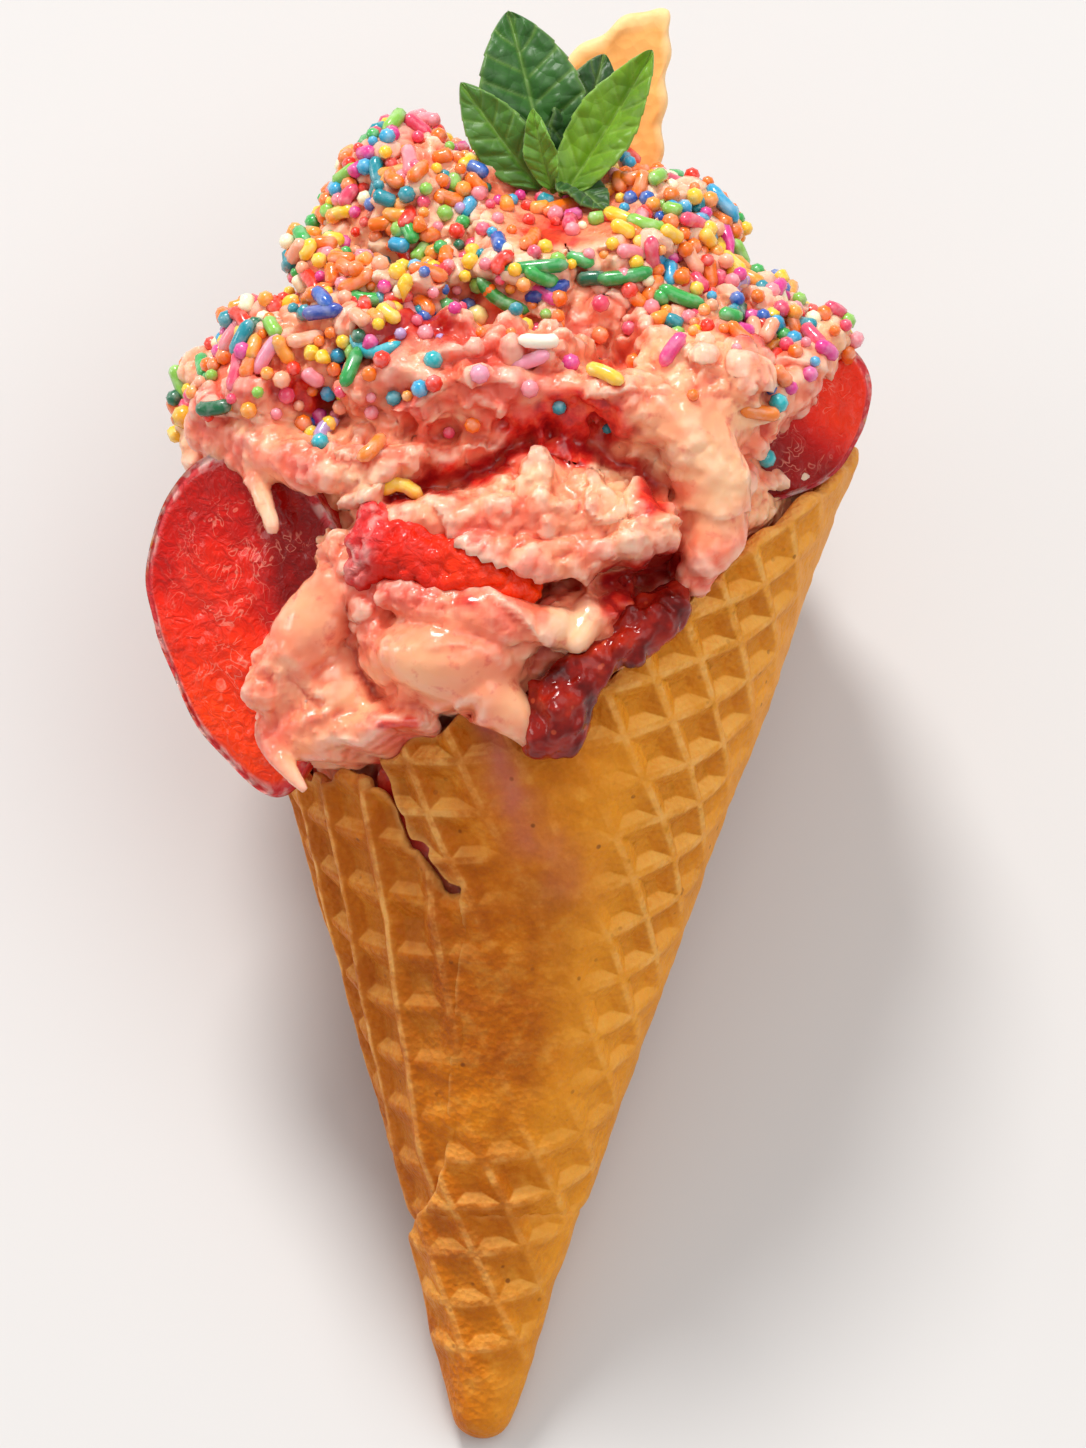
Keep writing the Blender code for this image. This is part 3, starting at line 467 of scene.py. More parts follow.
def coneTip(name):
    # the closed tip: a half-round nose carried up the cone's side, then closed under the two turns; a share of the
    # way up by rows and the turn by columns, with the same pressed lattice as the outer turn
    v = waffleValues
    columns = 150
    turn = np.linspace(-np.pi, np.pi, columns, endpoint=False)[None]
    degrees = np.degrees(turn)
    # its upper edge shows on the left, where it steps down onto the inner turn
    uneven = swells(np.stack([degrees / 9, 0 * degrees, 0 * degrees], -1), 1, 4)
    topAt = v["tipTop"] - 4.5 * smoothStep(-degrees, 40, 95) + 0.8 * uneven
    nosed = np.linspace(0.06, 1, 9)[:, None]
    angle = -np.pi / 2 + (np.pi / 2 - coneTilt) * nosed
    noseRadius, noseAlong = v["tipRadius"] * np.cos(angle), v["tipAt"] + v["tipRadius"] * (1 + np.sin(angle))
    startRadius, startAlong = noseRadius[-1, 0], noseAlong[-1, 0]
    up = np.linspace(0, 1, 56)[1:, None]
    sideAlong = startAlong + (topAt - startAlong) * up
    target = sideAlong * np.tan(coneTilt) - 0.15
    blend = smoothStep(sideAlong, startAlong, startAlong + 22)
    sideRadius = (startRadius + (sideAlong - startAlong) * np.tan(coneTilt)) * (1 - blend) + target * blend
    radius = np.concatenate([noseRadius + 0 * turn, sideRadius])
    height = np.concatenate([noseAlong + 0 * turn, sideAlong])
    wide = turn + 0 * radius
    i, j = latticePlace(height / np.cos(coneTilt), wide, v["outerLattice"])
    clear = 0.5 * smoothStep(height, 11, 22) * (1 - 0.8 * smoothStep(np.sin(wide), 0.7, 0.92))
    spot = np.stack([radius * np.sin(wide), height, radius * np.cos(wide)], -1)
    bump = swellSum(spot, v["tipUnevenness"])
    edge = np.clip((topAt - height) / 1.2, 0, 1)
    rounded = v["edgeRound"] * (1 - halfRound(edge))
    pressed = v["pocketDepth"] * v["tipDepthShare"] * pressedDepth(i, j, v["outerLattice"]) * clear
    radius = radius + (bump - pressed) * smoothStep(height, 7.3, 9) - rounded
    closing = np.array([0.8, 0.5, 0.2])[:, None]
    radius = np.concatenate([radius, (radius[-1:] - 0.6) * closing])
    height = np.concatenate([height, height[-1:] - 0.4 + 0 * closing * radius[-1:]])
    wide = np.concatenate([wide, wide[:3]])
    rings = np.stack([radius * np.sin(wide), height, radius * np.cos(wide)], -1).reshape(-1, 3)
    points = np.concatenate([[[0, v["tipAt"], 0]], rings, [[0, 36.5, 0]]])

    def carried(values, fill):
        full = np.concatenate([values, np.full((3, columns), fill)]).ravel()
        return np.concatenate([[fill], full, [fill]])

    return putMesh(name, points, roundFaces(radius.shape[0], columns), {
        "lattice": np.stack([carried(i, 0.5), carried(j, 0.5)], -1), "clear": carried(clear, 0.2),
        "edge": carried(1 - edge, 0.0), "stain": np.zeros(len(points)), "paintedLightAndBake": paintedLightAndBakeShare(points),
    }, replaced="waffle_cone")


def bakedWaffle(name, lattice):
    # waffle batter baked between hot plates: matt and golden, pale along worn edges; painted light on the pocket walls
    # that face the rim, on the ridge crests and along the right of the front, painted shade on the other pocket walls
    v = waffleValues
    material, add = newMaterial(
        name, Roughness=0.45, IOR=1.45, Specular_IOR_Level=0.16,
        Subsurface_Weight=0.15, Subsurface_Radius=(1.0, 0.42, 0.12), Subsurface_Scale=0.001)
    place = add("TexCoord").outputs["Object"]
    clear, edge, stain, paintedLightAndBake = [
        add("Attribute", attribute_name=key).outputs["Fac"] for key in ("clear", "edge", "stain", "paintedLightAndBake")]
    # the walls of the pockets, from the lattice laid on the sheet: 0 at a ridge or a rung, 1 on the floor
    steps = add("SeparateXYZ", {"Vector": add("UVMap", uv_map="lattice")})
    walls, sides = [], []
    for axis in (0, 1):
        away = add("Math", {0: steps.outputs[axis], 1: 0.5}, operation="PINGPONG")
        walls.append(add("MapRange", {
            "Value": away, "From Min": v["ridgeHalf"] / lattice[2 + axis],
            "From Max": (v["ridgeHalf"] + v["bevelWidth"]) / lattice[2 + axis]}))
        shifted = add("Math", {0: steps.outputs[axis], 1: 0.5}, operation="ADD")
        sides.append(add("Math", {0: add("Math", {0: shifted}, operation="FRACT"), 1: 0.5}, operation="SUBTRACT"))
    lowered = add("MapRange", {"Value": walls[1], "To Min": 1 - lattice[4], "To Max": 1.0})
    pressed, nearer = [add("Math", {0: walls[0], 1: lowered}, operation=kind) for kind in ("MINIMUM", "SUBTRACT")]
    onRung = add("MapRange", {"Value": nearer, "From Min": -0.05, "From Max": 0.12})
    across = add("Math", {0: add("SeparateXYZ", {"Vector": place}), 1: sides[0]}, operation="MULTIPLY")
    rimSide = add("Math", {0: sides[1], 1: 0.0}, operation="GREATER_THAN")
    middleSide = add("Math", {0: across, 1: 0.0}, operation="LESS_THAN")
    offRung, tipSide = [add("Math", {0: 1.0, 1: share}, operation="SUBTRACT") for share in (onRung, rimSide)]
    # how strongly the painted light and shade show on a wall, in patches of 6 mm
    toasting = add("TexNoise", {"Vector": place, "Scale": 190.0, "Detail": 3.0, "Roughness": 0.7})
    wallLightPatches = add("ValToRGB", {"Fac": toasting}, stops=[(0.36, 0.5), (0.6, 1.0)])
    # painted light on the walls that face the rim, painted shade on the walls that face the middle of the front or the
    # tip
    wallLightAndShade = []
    for wall, towards, share, high in (
            (walls[1], rimSide, onRung, lattice[4] ** 2), (walls[0], middleSide, offRung, 1.0),
            (walls[1], tipSide, onRung, 0.7 * lattice[4])):
        facet = add("ValToRGB", {"Fac": wall}, stops=[(0.0, 0.0), (0.16, high), (0.8, high), (1.0, 0.0)])
        for other in (towards, share, clear, wallLightPatches):
            facet = add("Math", {0: facet, 1: other}, operation="MULTIPLY")
        wallLightAndShade.append(facet)
    # uneven baking, patches of 15 to 20 mm and of 3 mm
    broad = add("TexNoise", {"Vector": place, "Scale": 60.0, "Detail": 6.0, "Roughness": 0.62})
    mottle = add("TexNoise", {"Vector": place, "Scale": 330.0, "Detail": 4.0, "Roughness": 0.6})
    baked = add("ValToRGB", {"Fac": broad}, stops=[
        (0.30, "#984404"), (0.45, "#b65a06"), (0.58, "#d4760c"), (0.75, "#ec9820")])
    fine = add("ValToRGB", {"Fac": mottle}, stops=[(0.34, "#a24e08"), (0.52, "#cf7410"), (0.7, "#f0aa44")])
    uneven = add("MixRGB", {"Fac": 0.36, "Color1": baked, "Color2": fine})
    # painted highlight on the crest of each ridge, broken up in patches, and darker floors in the pockets
    level = add("ValToRGB", {"Fac": pressed}, stops=[(0.0, 0.75), (0.10, 0.2), (0.3, 0.0)])
    crestLightBreaks = add("ValToRGB", {"Fac": mottle}, stops=[(0.42, 0.15), (0.62, 0.9)])
    crestLightClear = add("Math", {0: crestLightBreaks, 1: clear}, operation="MULTIPLY")
    sunk = add("ValToRGB", {"Fac": pressed}, stops=[(0.85, 0.0), (1.0, 0.38)])
    # painted shade on the walls that face the middle of the front or the tip
    paintedWallShade = add("Math", {0: wallLightAndShade[1], 1: wallLightAndShade[2]}, operation="MAXIMUM")
    # scorched specks of 0.5 to 0.8 mm
    specks = add("TexVoronoi", {"Vector": place, "Scale": 420.0, "Randomness": 1.0})
    speck = add("ValToRGB", {"Fac": specks.outputs["Distance"]}, stops=[(0.10, 0.7), (0.17, 0.0)])
    scorch = add("TexNoise", {"Vector": place, "Scale": 130.0, "Detail": 2.0})
    where = add("ValToRGB", {"Fac": scorch}, stops=[(0.52, 0.0), (0.66, 1.0)])
    crest, floor, dark = [
        add("Math", {0: a, 1: b}, operation="MULTIPLY") for a, b in ((level, crestLightClear), (sunk, clear), (speck, where))]
    # over the bake: painted light with bake tone, painted crest highlight, darker floors, painted light on rim-facing
    # walls, painted shade on the other walls, worn edges, jam stain, scorched specks
    colour = layered(add, uneven, (
        (paintedLightAndBake, 0.66, "#fca82c"), (crest, 1.0, "#f8c070"), (floor, 1.0, "#ae6a20"), (wallLightAndShade[0], 0.66, "#ffc668"),
        (paintedWallShade, 0.62, "#ac5606"), (edge, 0.45, "#eab469"), (stain, 0.9, "#c0625e"), (dark, 1.0, "#6b3310")))
    # open crumb of about 1 mm, broken up by a finer grain
    crumb = add("TexNoise", {"Vector": place, "Scale": 900.0, "Detail": 5.0, "Roughness": 0.65})
    pores = add("TexVoronoi", {"Vector": place, "Scale": 1150.0})
    relief = add("Math", {0: crumb, 1: pores.outputs["Distance"]}, operation="ADD")
    bump = add("Bump", {"Height": relief, "Strength": 0.5, "Distance": 0.0006})
    return feed(material, {"Base Color": colour, "Normal": bump})


print("waffle cone")
outerTurn = waffleSheet(
    "waffle_outer_turn", lumpyEdge(waffleValues["outerSeam"], 2, -1.3),
    lambda share: waffleValues["outerEnd"] + 1.5 * np.sin(share * 40), lambda share, degrees: 0.0,
    waffleValues["outerLattice"], columnPlaces([-48, 100, 200], [190, 60]), 1.7)
innerTurn = waffleSheet(
    "waffle_inner_turn", lambda share: waffleValues["innerStart"] + 0 * share,
    lumpyEdge(waffleValues["innerSeam"], 5, 1.3), innerCrest,
    waffleValues["innerLattice"], columnPlaces([-172, -110, 0], [45, 165]), 0.8)
tipPiece = coneTip("waffle_tip")
outerBatter = bakedWaffle("bakedWaffleBatter", waffleValues["outerLattice"])
innerBatter = bakedWaffle("bakedWaffleBatterInnerTurn", waffleValues["innerLattice"])
for piece, batter in ((outerTurn, outerBatter), (tipPiece, outerBatter), (innerTurn, innerBatter)):
    piece.data.materials.append(batter)


# Ice cream: lobes, runs and torn crumbs fused, then roughened

creamValues = {
    "lumps": [(1.0, 9, 46), (0.6, 4.2, 47)],  # height, size and seed of each swell
    "ledgeEvery": 9.5, "ledgeLift": 1.7, "largeCap": 2.7, "largeLift": 1.3, "smallCap": 1.6, "smallLift": 0.95,
    "wall": 4.2,  # left free inside the cone's face
    "voxel": 0.6, "nubTries": 14000, "nubs": 2300, "nubRadius": (0.8, 2.0), "stemFrom": 70, "stemTo": 112,
    # centre, radii
    "lobes": [
        ((1, 131, -2), (38.5, 25, 38)), ((3, 150, -4), (24, 24, 27)), ((21, 146, 4), (19.5, 14.5, 22)),
        ((-29, 140, 6), (13, 9.5, 20)), ((-14.5, 163.5, 0), (9.5, 12, 14)), ((9, 160, 2), (17.5, 12.5, 18)),
        ((-7.0, 109.0, 31), (11.2, 6.8, 12.0)), ((-21.5, 104, 20), (10, 10, 12)), ((5, 126.5, 31), (16.5, 6.3, 9)),
        ((-5, 143.5, 27.5), (17, 7.2, 10.5)), ((23, 142, 25), (10, 9, 11.5)), ((-16, 119, 26), (9, 9, 10)),
        ((9, 113, 29), (11, 7, 8)), ((-28, 145, 12), (9, 7, 15)),
    ],
    # across, along, towards the viewer, radius
    "runs": [
        [(-33, 134, 23, 2.2), (-32.6, 130.5, 24.5, 1.5), (-31.4, 127.5, 26, 1.2), (-30.2, 124.6, 27, 0.8)],
        [(-17.8, 121.8, 30, 4.0), (-24.2, 113.2, 30.5, 4.0), (-30.0, 104.0, 28, 3.6)],
        [(-30, 98.4, 26, 2.4), (-28.3, 95.4, 28.6, 1.5), (-25.0, 91.6, 31.0, 0.7)],
        [(15, 141, 34, 4.6), (21, 139, 34, 5.2), (25, 133, 33, 4.8), (26, 127, 32, 4.2), (23, 119.5, 32, 2.8)],
        [(-3, 105, 37, 4.0), (1.6, 101.4, 36.6, 2.6), (4.6, 97.4, 34.8, 1.1)],
        [(-19, 128, 32, 2.6), (-12, 127, 35.5, 3.0), (-5, 126.5, 37, 3.0)],
        [(-24, 151, 24, 3.0), (-14, 148, 30, 3.0), (-3, 144.5, 34.5, 3.0), (8, 143.2, 35, 2.6), (15, 141, 36.5, 3.2)],
        [(-4, 122.5, 38, 2.6), (4, 121, 38.6, 2.6), (12, 122.5, 38.6, 2.6), (19, 125.5, 37, 2.4)],
        [(3, 130, 37.5, 2.6), (3.2, 134.6, 38.4, 1.0)], [(10, 129, 37.5, 2.4), (10.4, 132.4, 38, 1.0)],
        [(16, 128, 36.5, 2.2), (15.6, 131.5, 37, 1.0)],
        [(-39, 139, 15, 3.6), (-34, 135.2, 21, 3.6), (-28, 133.4, 27, 3.4), (-20, 131.6, 31.5, 3.0),
         (-13, 133.5, 34, 2.4)],
        [(-27, 160, 14, 3.0), (-21, 156, 22, 2.6), (-12, 154, 27, 2.6)],
        [(25, 152, 24, 3.0), (24, 145, 30, 3.0), (21, 139, 34, 2.6)], [(17, 149, 29, 2.4), (21.5, 145, 31.5, 2.6)],
        [(11.4, 117.5, 34, 2.8), (10.0, 114, 37.4, 1.9), (8.4, 111, 39.2, 1.5)],
        [(-15.5, 116.5, 37.5, 2.0), (-8, 114.8, 39.6, 2.6), (0, 113.4, 40, 2.6), (6, 113.0, 38.5, 2.4)],
        [(40, 151.5, 15, 3.0), (35.8, 147, 20, 3.4), (31.5, 143, 23, 3.4), (28.6, 138.4, 25, 3.2)],
        [(-13.5, 93, 20.8, 2.8), (-10.4, 86, 20, 2.8), (-6.7, 79, 19.4, 2.8)],
        [(-27, 99, 26, 4.0), (-18, 98.5, 30, 3.6), (-12, 101, 33, 3.4)],
    ],
    # runs that hang outside the rim
    "drips": [
        [(-31, 97, 25, 3), (-24.9, 91.6, 31, 1)], [(-1, 104, 37, 4), (4.6, 97.4, 34.8, 1)],
        [(26, 129, 32, 4), (22.5, 118, 32, 3)], [(-4, 107, 38, 4), (-14, 105, 36, 4)]],
    # gaps between the folds: points in the view, radius, depth
    "gaps": [
        ([(-15, 129), (-9, 130.6), (-4, 132.6), (1, 136)], 1.7, 5.0), ([(12, 119), (16, 119.6), (20, 122)], 1.8, 4.0),
        ([(3, 118.5), (9, 118)], 1.3, 1.8), ([(-19, 147), (-14, 151), (-10, 150)], 3.0, 3.5),
        ([(5, 137.0), (12, 134.5), (17, 132.5)], 1.9, 3.2), ([(-22, 126.5), (-18.5, 125)], 1.4, 2.5),
        ([(-20, 113.5), (-19.4, 107), (-14.5, 102.6), (-8, 101.2)], 1.1, 1.5), ([(24, 156), (31, 150)], 2.2, 2.4),
        ([(-9, 144.5), (-2, 147), (3, 146)], 1.6, 2.0), ([(6, 147), (12, 146), (14, 150)], 1.8, 2.0),
        ([(-26, 139), (-18, 139), (-14, 142)], 1.8, 2.3), ([(-4, 136.5), (-14, 136.5)], 1.3, 1.8),
    ],
    # melted and even places, then places soaked with berry syrup: centre, radius, stretch
    "smooth": [
        ((-9, 107.5, 40), 9, (1.4, 0.8, 1)), ((1, 103, 38), 4.5, (1.2, 1, 1)), ((25, 131, 34), 7, (0.7, 1.6, 1)),
        ((24, 146, 28), 6, (1, 1, 1)), ((-31, 128, 26), 5, (1, 1.6, 1)), ((8.6, 111.5, 40), 5, (1, 1.3, 1)),
        ((-25, 113, 32), 6.5, (1, 1.3, 1)), ((-19, 104, 33), 4, (1, 1, 1)), ((-26, 94, 29), 4, (1, 1, 1)),
        ((20, 139, 35), 5, (1.3, 0.8, 1)),
    ],
    "wet": [
        ((9, 138.5, 37), 6, (1.3, 0.8, 0.9)), ((-15, 90, 22), 9, (1, 1, 1)), ((6, 138, 34), 10, (1.25, 0.75, 0.72)),
        ((16.5, 129, 36), 4.5, (0.9, 1.1, 3)), ((4, 164, 18), 4.5, (1.2, 1, 4)), ((30, 152, 20), 6.5, (1.6, 0.8, 4)),
        ((-15.5, 150, 26), 5, (1.3, 0.9, 4)), ((-4, 132, 33.5), 4.5, (1.8, 0.7, 1)), ((18, 120, 33), 4.5, (1, 1, 3)),
        ((-29, 120, 24), 6, (1, 1.3, 1)), ((-14, 100, 34), 3.2, (1.8, 0.5, 2)), ((-27, 141, 27), 5, (1.6, 0.7, 3)),
        ((14, 116, 35), 4, (1.3, 1, 2)), ((-8, 115.5, 36), 4, (2.0, 0.5, 3)), ((-23, 133, 27), 3.5, (1.6, 0.6, 3)),
    ],
}


def gapDepth(points):
    # depth of the gaps between folds and the share of painted shade in them, a soft groove along each line in the view,
    # on the dressed side only
    x, y, z = np.moveaxis(points, -1, 0)
    depth, share = np.zeros(len(points)), np.zeros(len(points))
    wander = np.stack([x + 1.6 * swells(points, 4, 52), y + 1.6 * swells(points, 4, 53)], -1)
    for line, radius, deep in creamValues["gaps"]:
        near = np.exp(-(np.linalg.norm(wander[:, None] - lineSpots(line, 16), axis=-1).min(1) / radius) ** 2)
        depth = np.maximum(depth, deep * near)
        share = np.maximum(share, near * np.clip((deep - 1.4) / 2.4, 0, 1))
    return depth * smoothStep(z, 12, 20), share * smoothStep(z, 12, 20)


def tornSurface(points, normals):
    # the skin pushed along its normals by uneven ledges, lumps and pimples; nothing inside the cone is moved
    x, y, z = np.moveaxis(points, -1, 0)
    outside = smoothStep(y - 0.25 * z, 84, 98)
    v = creamValues
    smooth = patches(points, v["smooth"])
    # ledges: a saw-tooth down the mound, broken up by slow noise, that juts at the foot of each tear
    drift = points + 2.4 * np.stack([swells(points, 7, 41), swells(points, 7, 42), swells(points, 7, 43)], -1)
    level = (drift[..., 1] + 0.22 * drift[..., 0]) / v["ledgeEvery"] + 0.8 * swells(points, 16, 44)
    tooth = level - np.floor(level)
    ledge = (1 - tooth) ** 1.4 * smoothStep(tooth, 0.0, 0.10)
    torn = smoothStep(swells(points, 12, 45), -0.35, 0.4) * (1 - smooth)
    lumps = swellSum(points, v["lumps"]) * (1 - 0.92 * smooth)
    # pimples: round caps of 2 to 3 mm and of 1 to 2 mm, thick on the crown, in patches below
    large = caps(drift * 0.4 + points * 0.6, v["largeCap"], 48, 0.55) * v["largeLift"]
    small = caps(points, v["smallCap"], 50, 0.5) * v["smallLift"]
    crown = smoothStep(y - 0.1 * z, 140, 152)
    rough = (1 - 0.97 * smooth) * np.maximum(smoothStep(swells(points, 7, 51), -0.75, 0.1), 0.85 * crown)
    lift = lumps + v["ledgeLift"] * ledge * torn + (large * (0.35 + 0.65 * crown) + small) * rough - 0.8 * rough
    dug, _ = gapDepth(points)
    moved = points + normals * (lift * outside)[:, None]
    moved[:, 2] -= dug
    moved[:, 1] -= 0.7 * ledge * torn * outside  # the lip of a tear hangs a little
    # it leaves the mint's foot in view
    top = 6.0 + 1.9 * np.maximum(0, 169.5 - moved[:, 1]) + 0.05 * (moved[:, 0] - 4.5) ** 2
    moved[:, 2] = np.where((moved[:, 2] > top) & (moved[:, 1] > 160), top + 0.12 * (moved[:, 2] - top), moved[:, 2])
    # below the rim it is drawn in to the inside of the cone, but for the drips that run over
    turn = np.arctan2(moved[:, 0], moved[:, 2])
    radius = np.hypot(moved[:, 0], moved[:, 2])
    drips = np.array([spot[:3] for path in v["drips"] for spot in along(path, np.linspace(0, 1, 9))])
    free = smoothStep(np.linalg.norm(moved[:, None] - drips[None], axis=-1).min(1), 4.0, 6.5)
    below = smoothStep(rimHeight(turn) - moved[:, 1], -2.0, 1.5) * free
    room = moved[:, 1] * coneSlope - v["wall"] + 0.9 * patch(moved, (-10.4, 86, 22), 10)
    pulled = np.where(radius > room, room + (radius - room) * (1 - below), radius) / np.maximum(radius, 0.01)
    moved[:, [0, 2]] *= pulled[:, None]
    return moved


def creamColours(points):
    # where berry sauce soaks in, where the fruit tints it pink, where it lies in a gap (syrup collects there, under
    # painted shade), and where it is damp
    broken = patches(points, creamValues["wet"]) * 1.3 - 0.32
    broken = broken + 0.45 * swells(points, 5, 61) + 0.3 * swells(points, 2, 62)
    scattered = smoothStep(swells(points, 9, 63) + 0.35 * swells(points, 3, 64), 0.5, 0.75) * 0.5
    sauce = np.clip(np.maximum(smoothStep(broken, 0.25, 0.75), scattered), 0, 1)
    low = 1 - smoothStep(points[:, 1], 112, 130)
    pink = np.clip(0.5 + 0.6 * swells(points, 14, 65) + 0.3 * swells(points, 5, 66) + 0.3 * low, 0, 1)
    _, gap = gapDepth(points)
    smooth = patches(points, creamValues["smooth"])
    sauce = np.maximum(sauce * (1 - 0.8 * smooth), smoothStep(gap, 0.35, 0.8))
    # gap: painted shade in the gaps between folds and where the cream goes down into the cone
    return {
        "sauce": sauce, "pink": pink * (1 - 0.8 * smooth), "gap": np.maximum(gap, patch(points, (-13, 85, 20), 12)),
        "melt": np.clip(smooth + 0.8 * sauce, 0, 1)}


def hollows(points, quads):
    # how far a point lies below the mean of its neighbours, spread by six rounds of averaging
    smoothed = points.copy()
    weight = np.bincount(quads.ravel(), minlength=len(points))[:, None]
    for _ in range(6):
        centre = smoothed[quads].mean(1)
        sums = [np.bincount(quads.ravel(), np.repeat(centre[:, axis], 4), len(points)) for axis in range(3)]
        smoothed = np.stack(sums, -1) / weight
    return ((smoothed - points) * normalsOf(points, quads)).sum(-1)


def iceCreamMound():
    v = creamValues
    centres = np.array([c for c, r in v["lobes"]], float)
    radii = np.array([r for c, r in v["lobes"]], float)
    balls, sizes = [centres], [radii]
    for path in v["runs"]:
        spots = along(path, np.linspace(0, 1, 26))
        balls.append(spots[:, :3])
        sizes.append(np.repeat(spots[:, 3:], 3, 1))
    # torn crumbs: small balls on the outside of the lobes, in clumps
    ways = unit(rng.normal(size=(v["nubTries"], 3)))
    area = radii.prod(1) ** (2 / 3)
    which = rng.choice(len(centres), v["nubTries"], p=area / area.sum())
    spots = centres[which] + ways * radii[which]
    within = (((spots[:, None] - centres[None]) / radii[None]) ** 2).sum(-1)
    within[np.arange(len(which)), which] = 9
    clumped = swells(spots, 8, 71) + 0.6 * rng.random(len(spots)) + 0.25 * smoothStep(spots[:, 1], 140, 155)
    fine = (within.min(1) > 0.97) & (spots[:, 1] > 100) & (clumped > 0.38) & (patches(spots, v["smooth"]) < 0.35)
    spots = spots[fine][:v["nubs"]]
    crown = 1 + 0.45 * smoothStep(spots[:, 1] - 0.4 * spots[:, 0], 146, 158)
    size = rng.uniform(*v["nubRadius"], len(spots)) * rng.uniform(0.6, 1, len(spots)) * crown
    balls.append(spots + rng.normal(size=spots.shape) * 0.3)
    sizes.append(np.repeat(size[:, None], 3, 1) * rng.uniform(0.75, 1.35, (len(spots), 3)))
    # the stem of ice cream in the cone, down to where it can't be seen
    stemAt = np.linspace(v["stemFrom"], v["stemTo"], 34)
    balls.append(np.stack([0 * stemAt, stemAt, 0 * stemAt], -1))
    stemSize = stemAt * 0.31 - 5.4
    sizes.append(np.repeat(stemSize[:, None], 3, 1))
    skin, normals, quads = fused(*ballCloud(np.concatenate(balls), np.concatenate(sizes)), v["voxel"])
    return tornSurface(skin, normals), quads


def frozenCream():
    # strawberry ice cream, scooped: milky and soft, light passes a few mm in; damp where it melts
    material, add = newMaterial(
        "scoopedStrawberryIceCream", Roughness=0.4, IOR=1.36, Coat_Roughness=0.12,
        Subsurface_Weight=0.5, Subsurface_Radius=(1.0, 0.36, 0.22), Subsurface_Scale=0.0024)
    place = add("TexCoord").outputs["Object"]
    sauce, pink, paintedHollowShade, crest, gap, melt = [
        add("Attribute", attribute_name=key).outputs["Fac"] for key in ("sauce", "pink", "paintedHollowShade", "crest", "gap", "melt")]
    cream = add("ValToRGB", {"Fac": pink}, stops=[
        (0.1, "#ffbb8c"), (0.45, "#fc9670"), (0.75, "#f4785a"), (1.0, "#ea6050")])
    # fruit pulp stirred in, flecks of 1 to 2 mm
    pulp = add("TexNoise", {"Vector": place, "Scale": 420.0, "Detail": 3.0, "Roughness": 0.6})
    fleck = add("ValToRGB", {"Fac": pulp}, stops=[(0.58, 0.0), (0.72, 0.6)])
    milk = add("TexNoise", {"Vector": place, "Scale": 170.0, "Detail": 3.0})
    pale = add("ValToRGB", {"Fac": milk}, stops=[(0.52, 0.0), (0.68, 0.6)])
    syrup = add("ValToRGB", {"Fac": pulp}, stops=[(0.35, "#b4161a"), (0.5, "#e02c20"), (0.68, "#f25c3c")])
    # painted light on the thin crests, where light would pass through; painted shade in the hollows and, darkest, in
    # the gaps between folds
    colour = layered(add, cream, (
        (fleck, 1.0, "#dc5044"), (pale, 1.0, "#ffcca4"), (crest, 1.0, "#ffd8c2"), (paintedHollowShade, 1.0, "#d83c26"),
        (sauce, 1.0, syrup), (gap, 0.62, "#96141a")))
    # wet and shiny only where it melts or carries syrup
    damp = add("ValToRGB", {"Fac": melt}, stops=[(0.0, 0.33), (1.0, 0.14)])
    shine = add("ValToRGB", {"Fac": melt}, stops=[(0.0, 0.2), (0.8, 0.5)])
    # a crumbly grain of 1 to 1.5 mm on the torn faces, which is what ice crystals leave
    crystals = add("TexVoronoi", {"Vector": place, "Scale": 620.0, "Randomness": 0.9}, feature="SMOOTH_F1")
    domes = add("Math", {0: 1.0, 1: crystals.outputs["Distance"]}, operation="SUBTRACT")
    firm = add("ValToRGB", {"Fac": melt}, stops=[(0.0, 0.9), (0.6, 0.12)])
    bump = add("Bump", {"Height": domes, "Strength": firm, "Distance": 0.0012})
    return feed(material, {"Base Color": colour, "Roughness": damp, "Coat Weight": shine, "Normal": bump})


print("ice cream")
creamPoints, creamQuads = iceCreamMound()
creamNormals = normalsOf(creamPoints, creamQuads)
creamBend = hollows(creamPoints, creamQuads)
creamShares = creamColours(creamPoints)
# painted shade in the hollows and painted light on the crests, from how far each point lies below or above its
# neighbours
creamShares["paintedHollowShade"] = 0.66 * smoothStep(creamBend, 0.04, 0.7)
creamShares["crest"] = 0.6 * smoothStep(-creamBend, 0.05, 0.6)
mound = putMesh("ice_cream_mound", creamPoints, [creamQuads], creamShares, replaced="ice_cream")
mound.data.materials.append(frozenCream())
creamTree = skinTree(creamPoints, [creamQuads])
print("ice cream triangles", len(creamQuads) * 2)


# Strawberries: a tapered body cut flat on one side

berryValues = {
    # centre, half sizes, lumpiness, turns, height of the cut as a share of the half thickness
    "strawberry_left": ((-32.2, 112.5, 19.4), (22.5, 18.0, 13.0), 0.06, (6, -30, 8), 0.10),
    "strawberry_right": ((33.2, 139.5, 15), (16.0, 11.0, 9.5), 0.06, (-52, 34, 0), 0.30),
}
cutValues = {
    "columns": 200, "faceRows": 46, "skinRows": 70, "edgeDrop": 0.9, "bubble": 1.9, "seedEvery": 3.0, "pitDepth": 0.55,
}
chunkValues = {
    # across, along, towards the viewer, radius
    "path": [
        (-15.6, 122.0, 35, 4.6), (-12, 121.4, 36, 4.8), (-6.5, 119.8, 37, 4.4), (-1.0, 118.2, 37.6, 3.6),
        (1.6, 117.6, 37.4, 2.6)],
    "corners": [(-17.4, 125.6, 35.5, 2.4), (-18.2, 119.2, 35, 2.6), (-18.6, 122.5, 35.5, 2.2)],
    "voxel": 0.42, "bubble": 1.7,
}


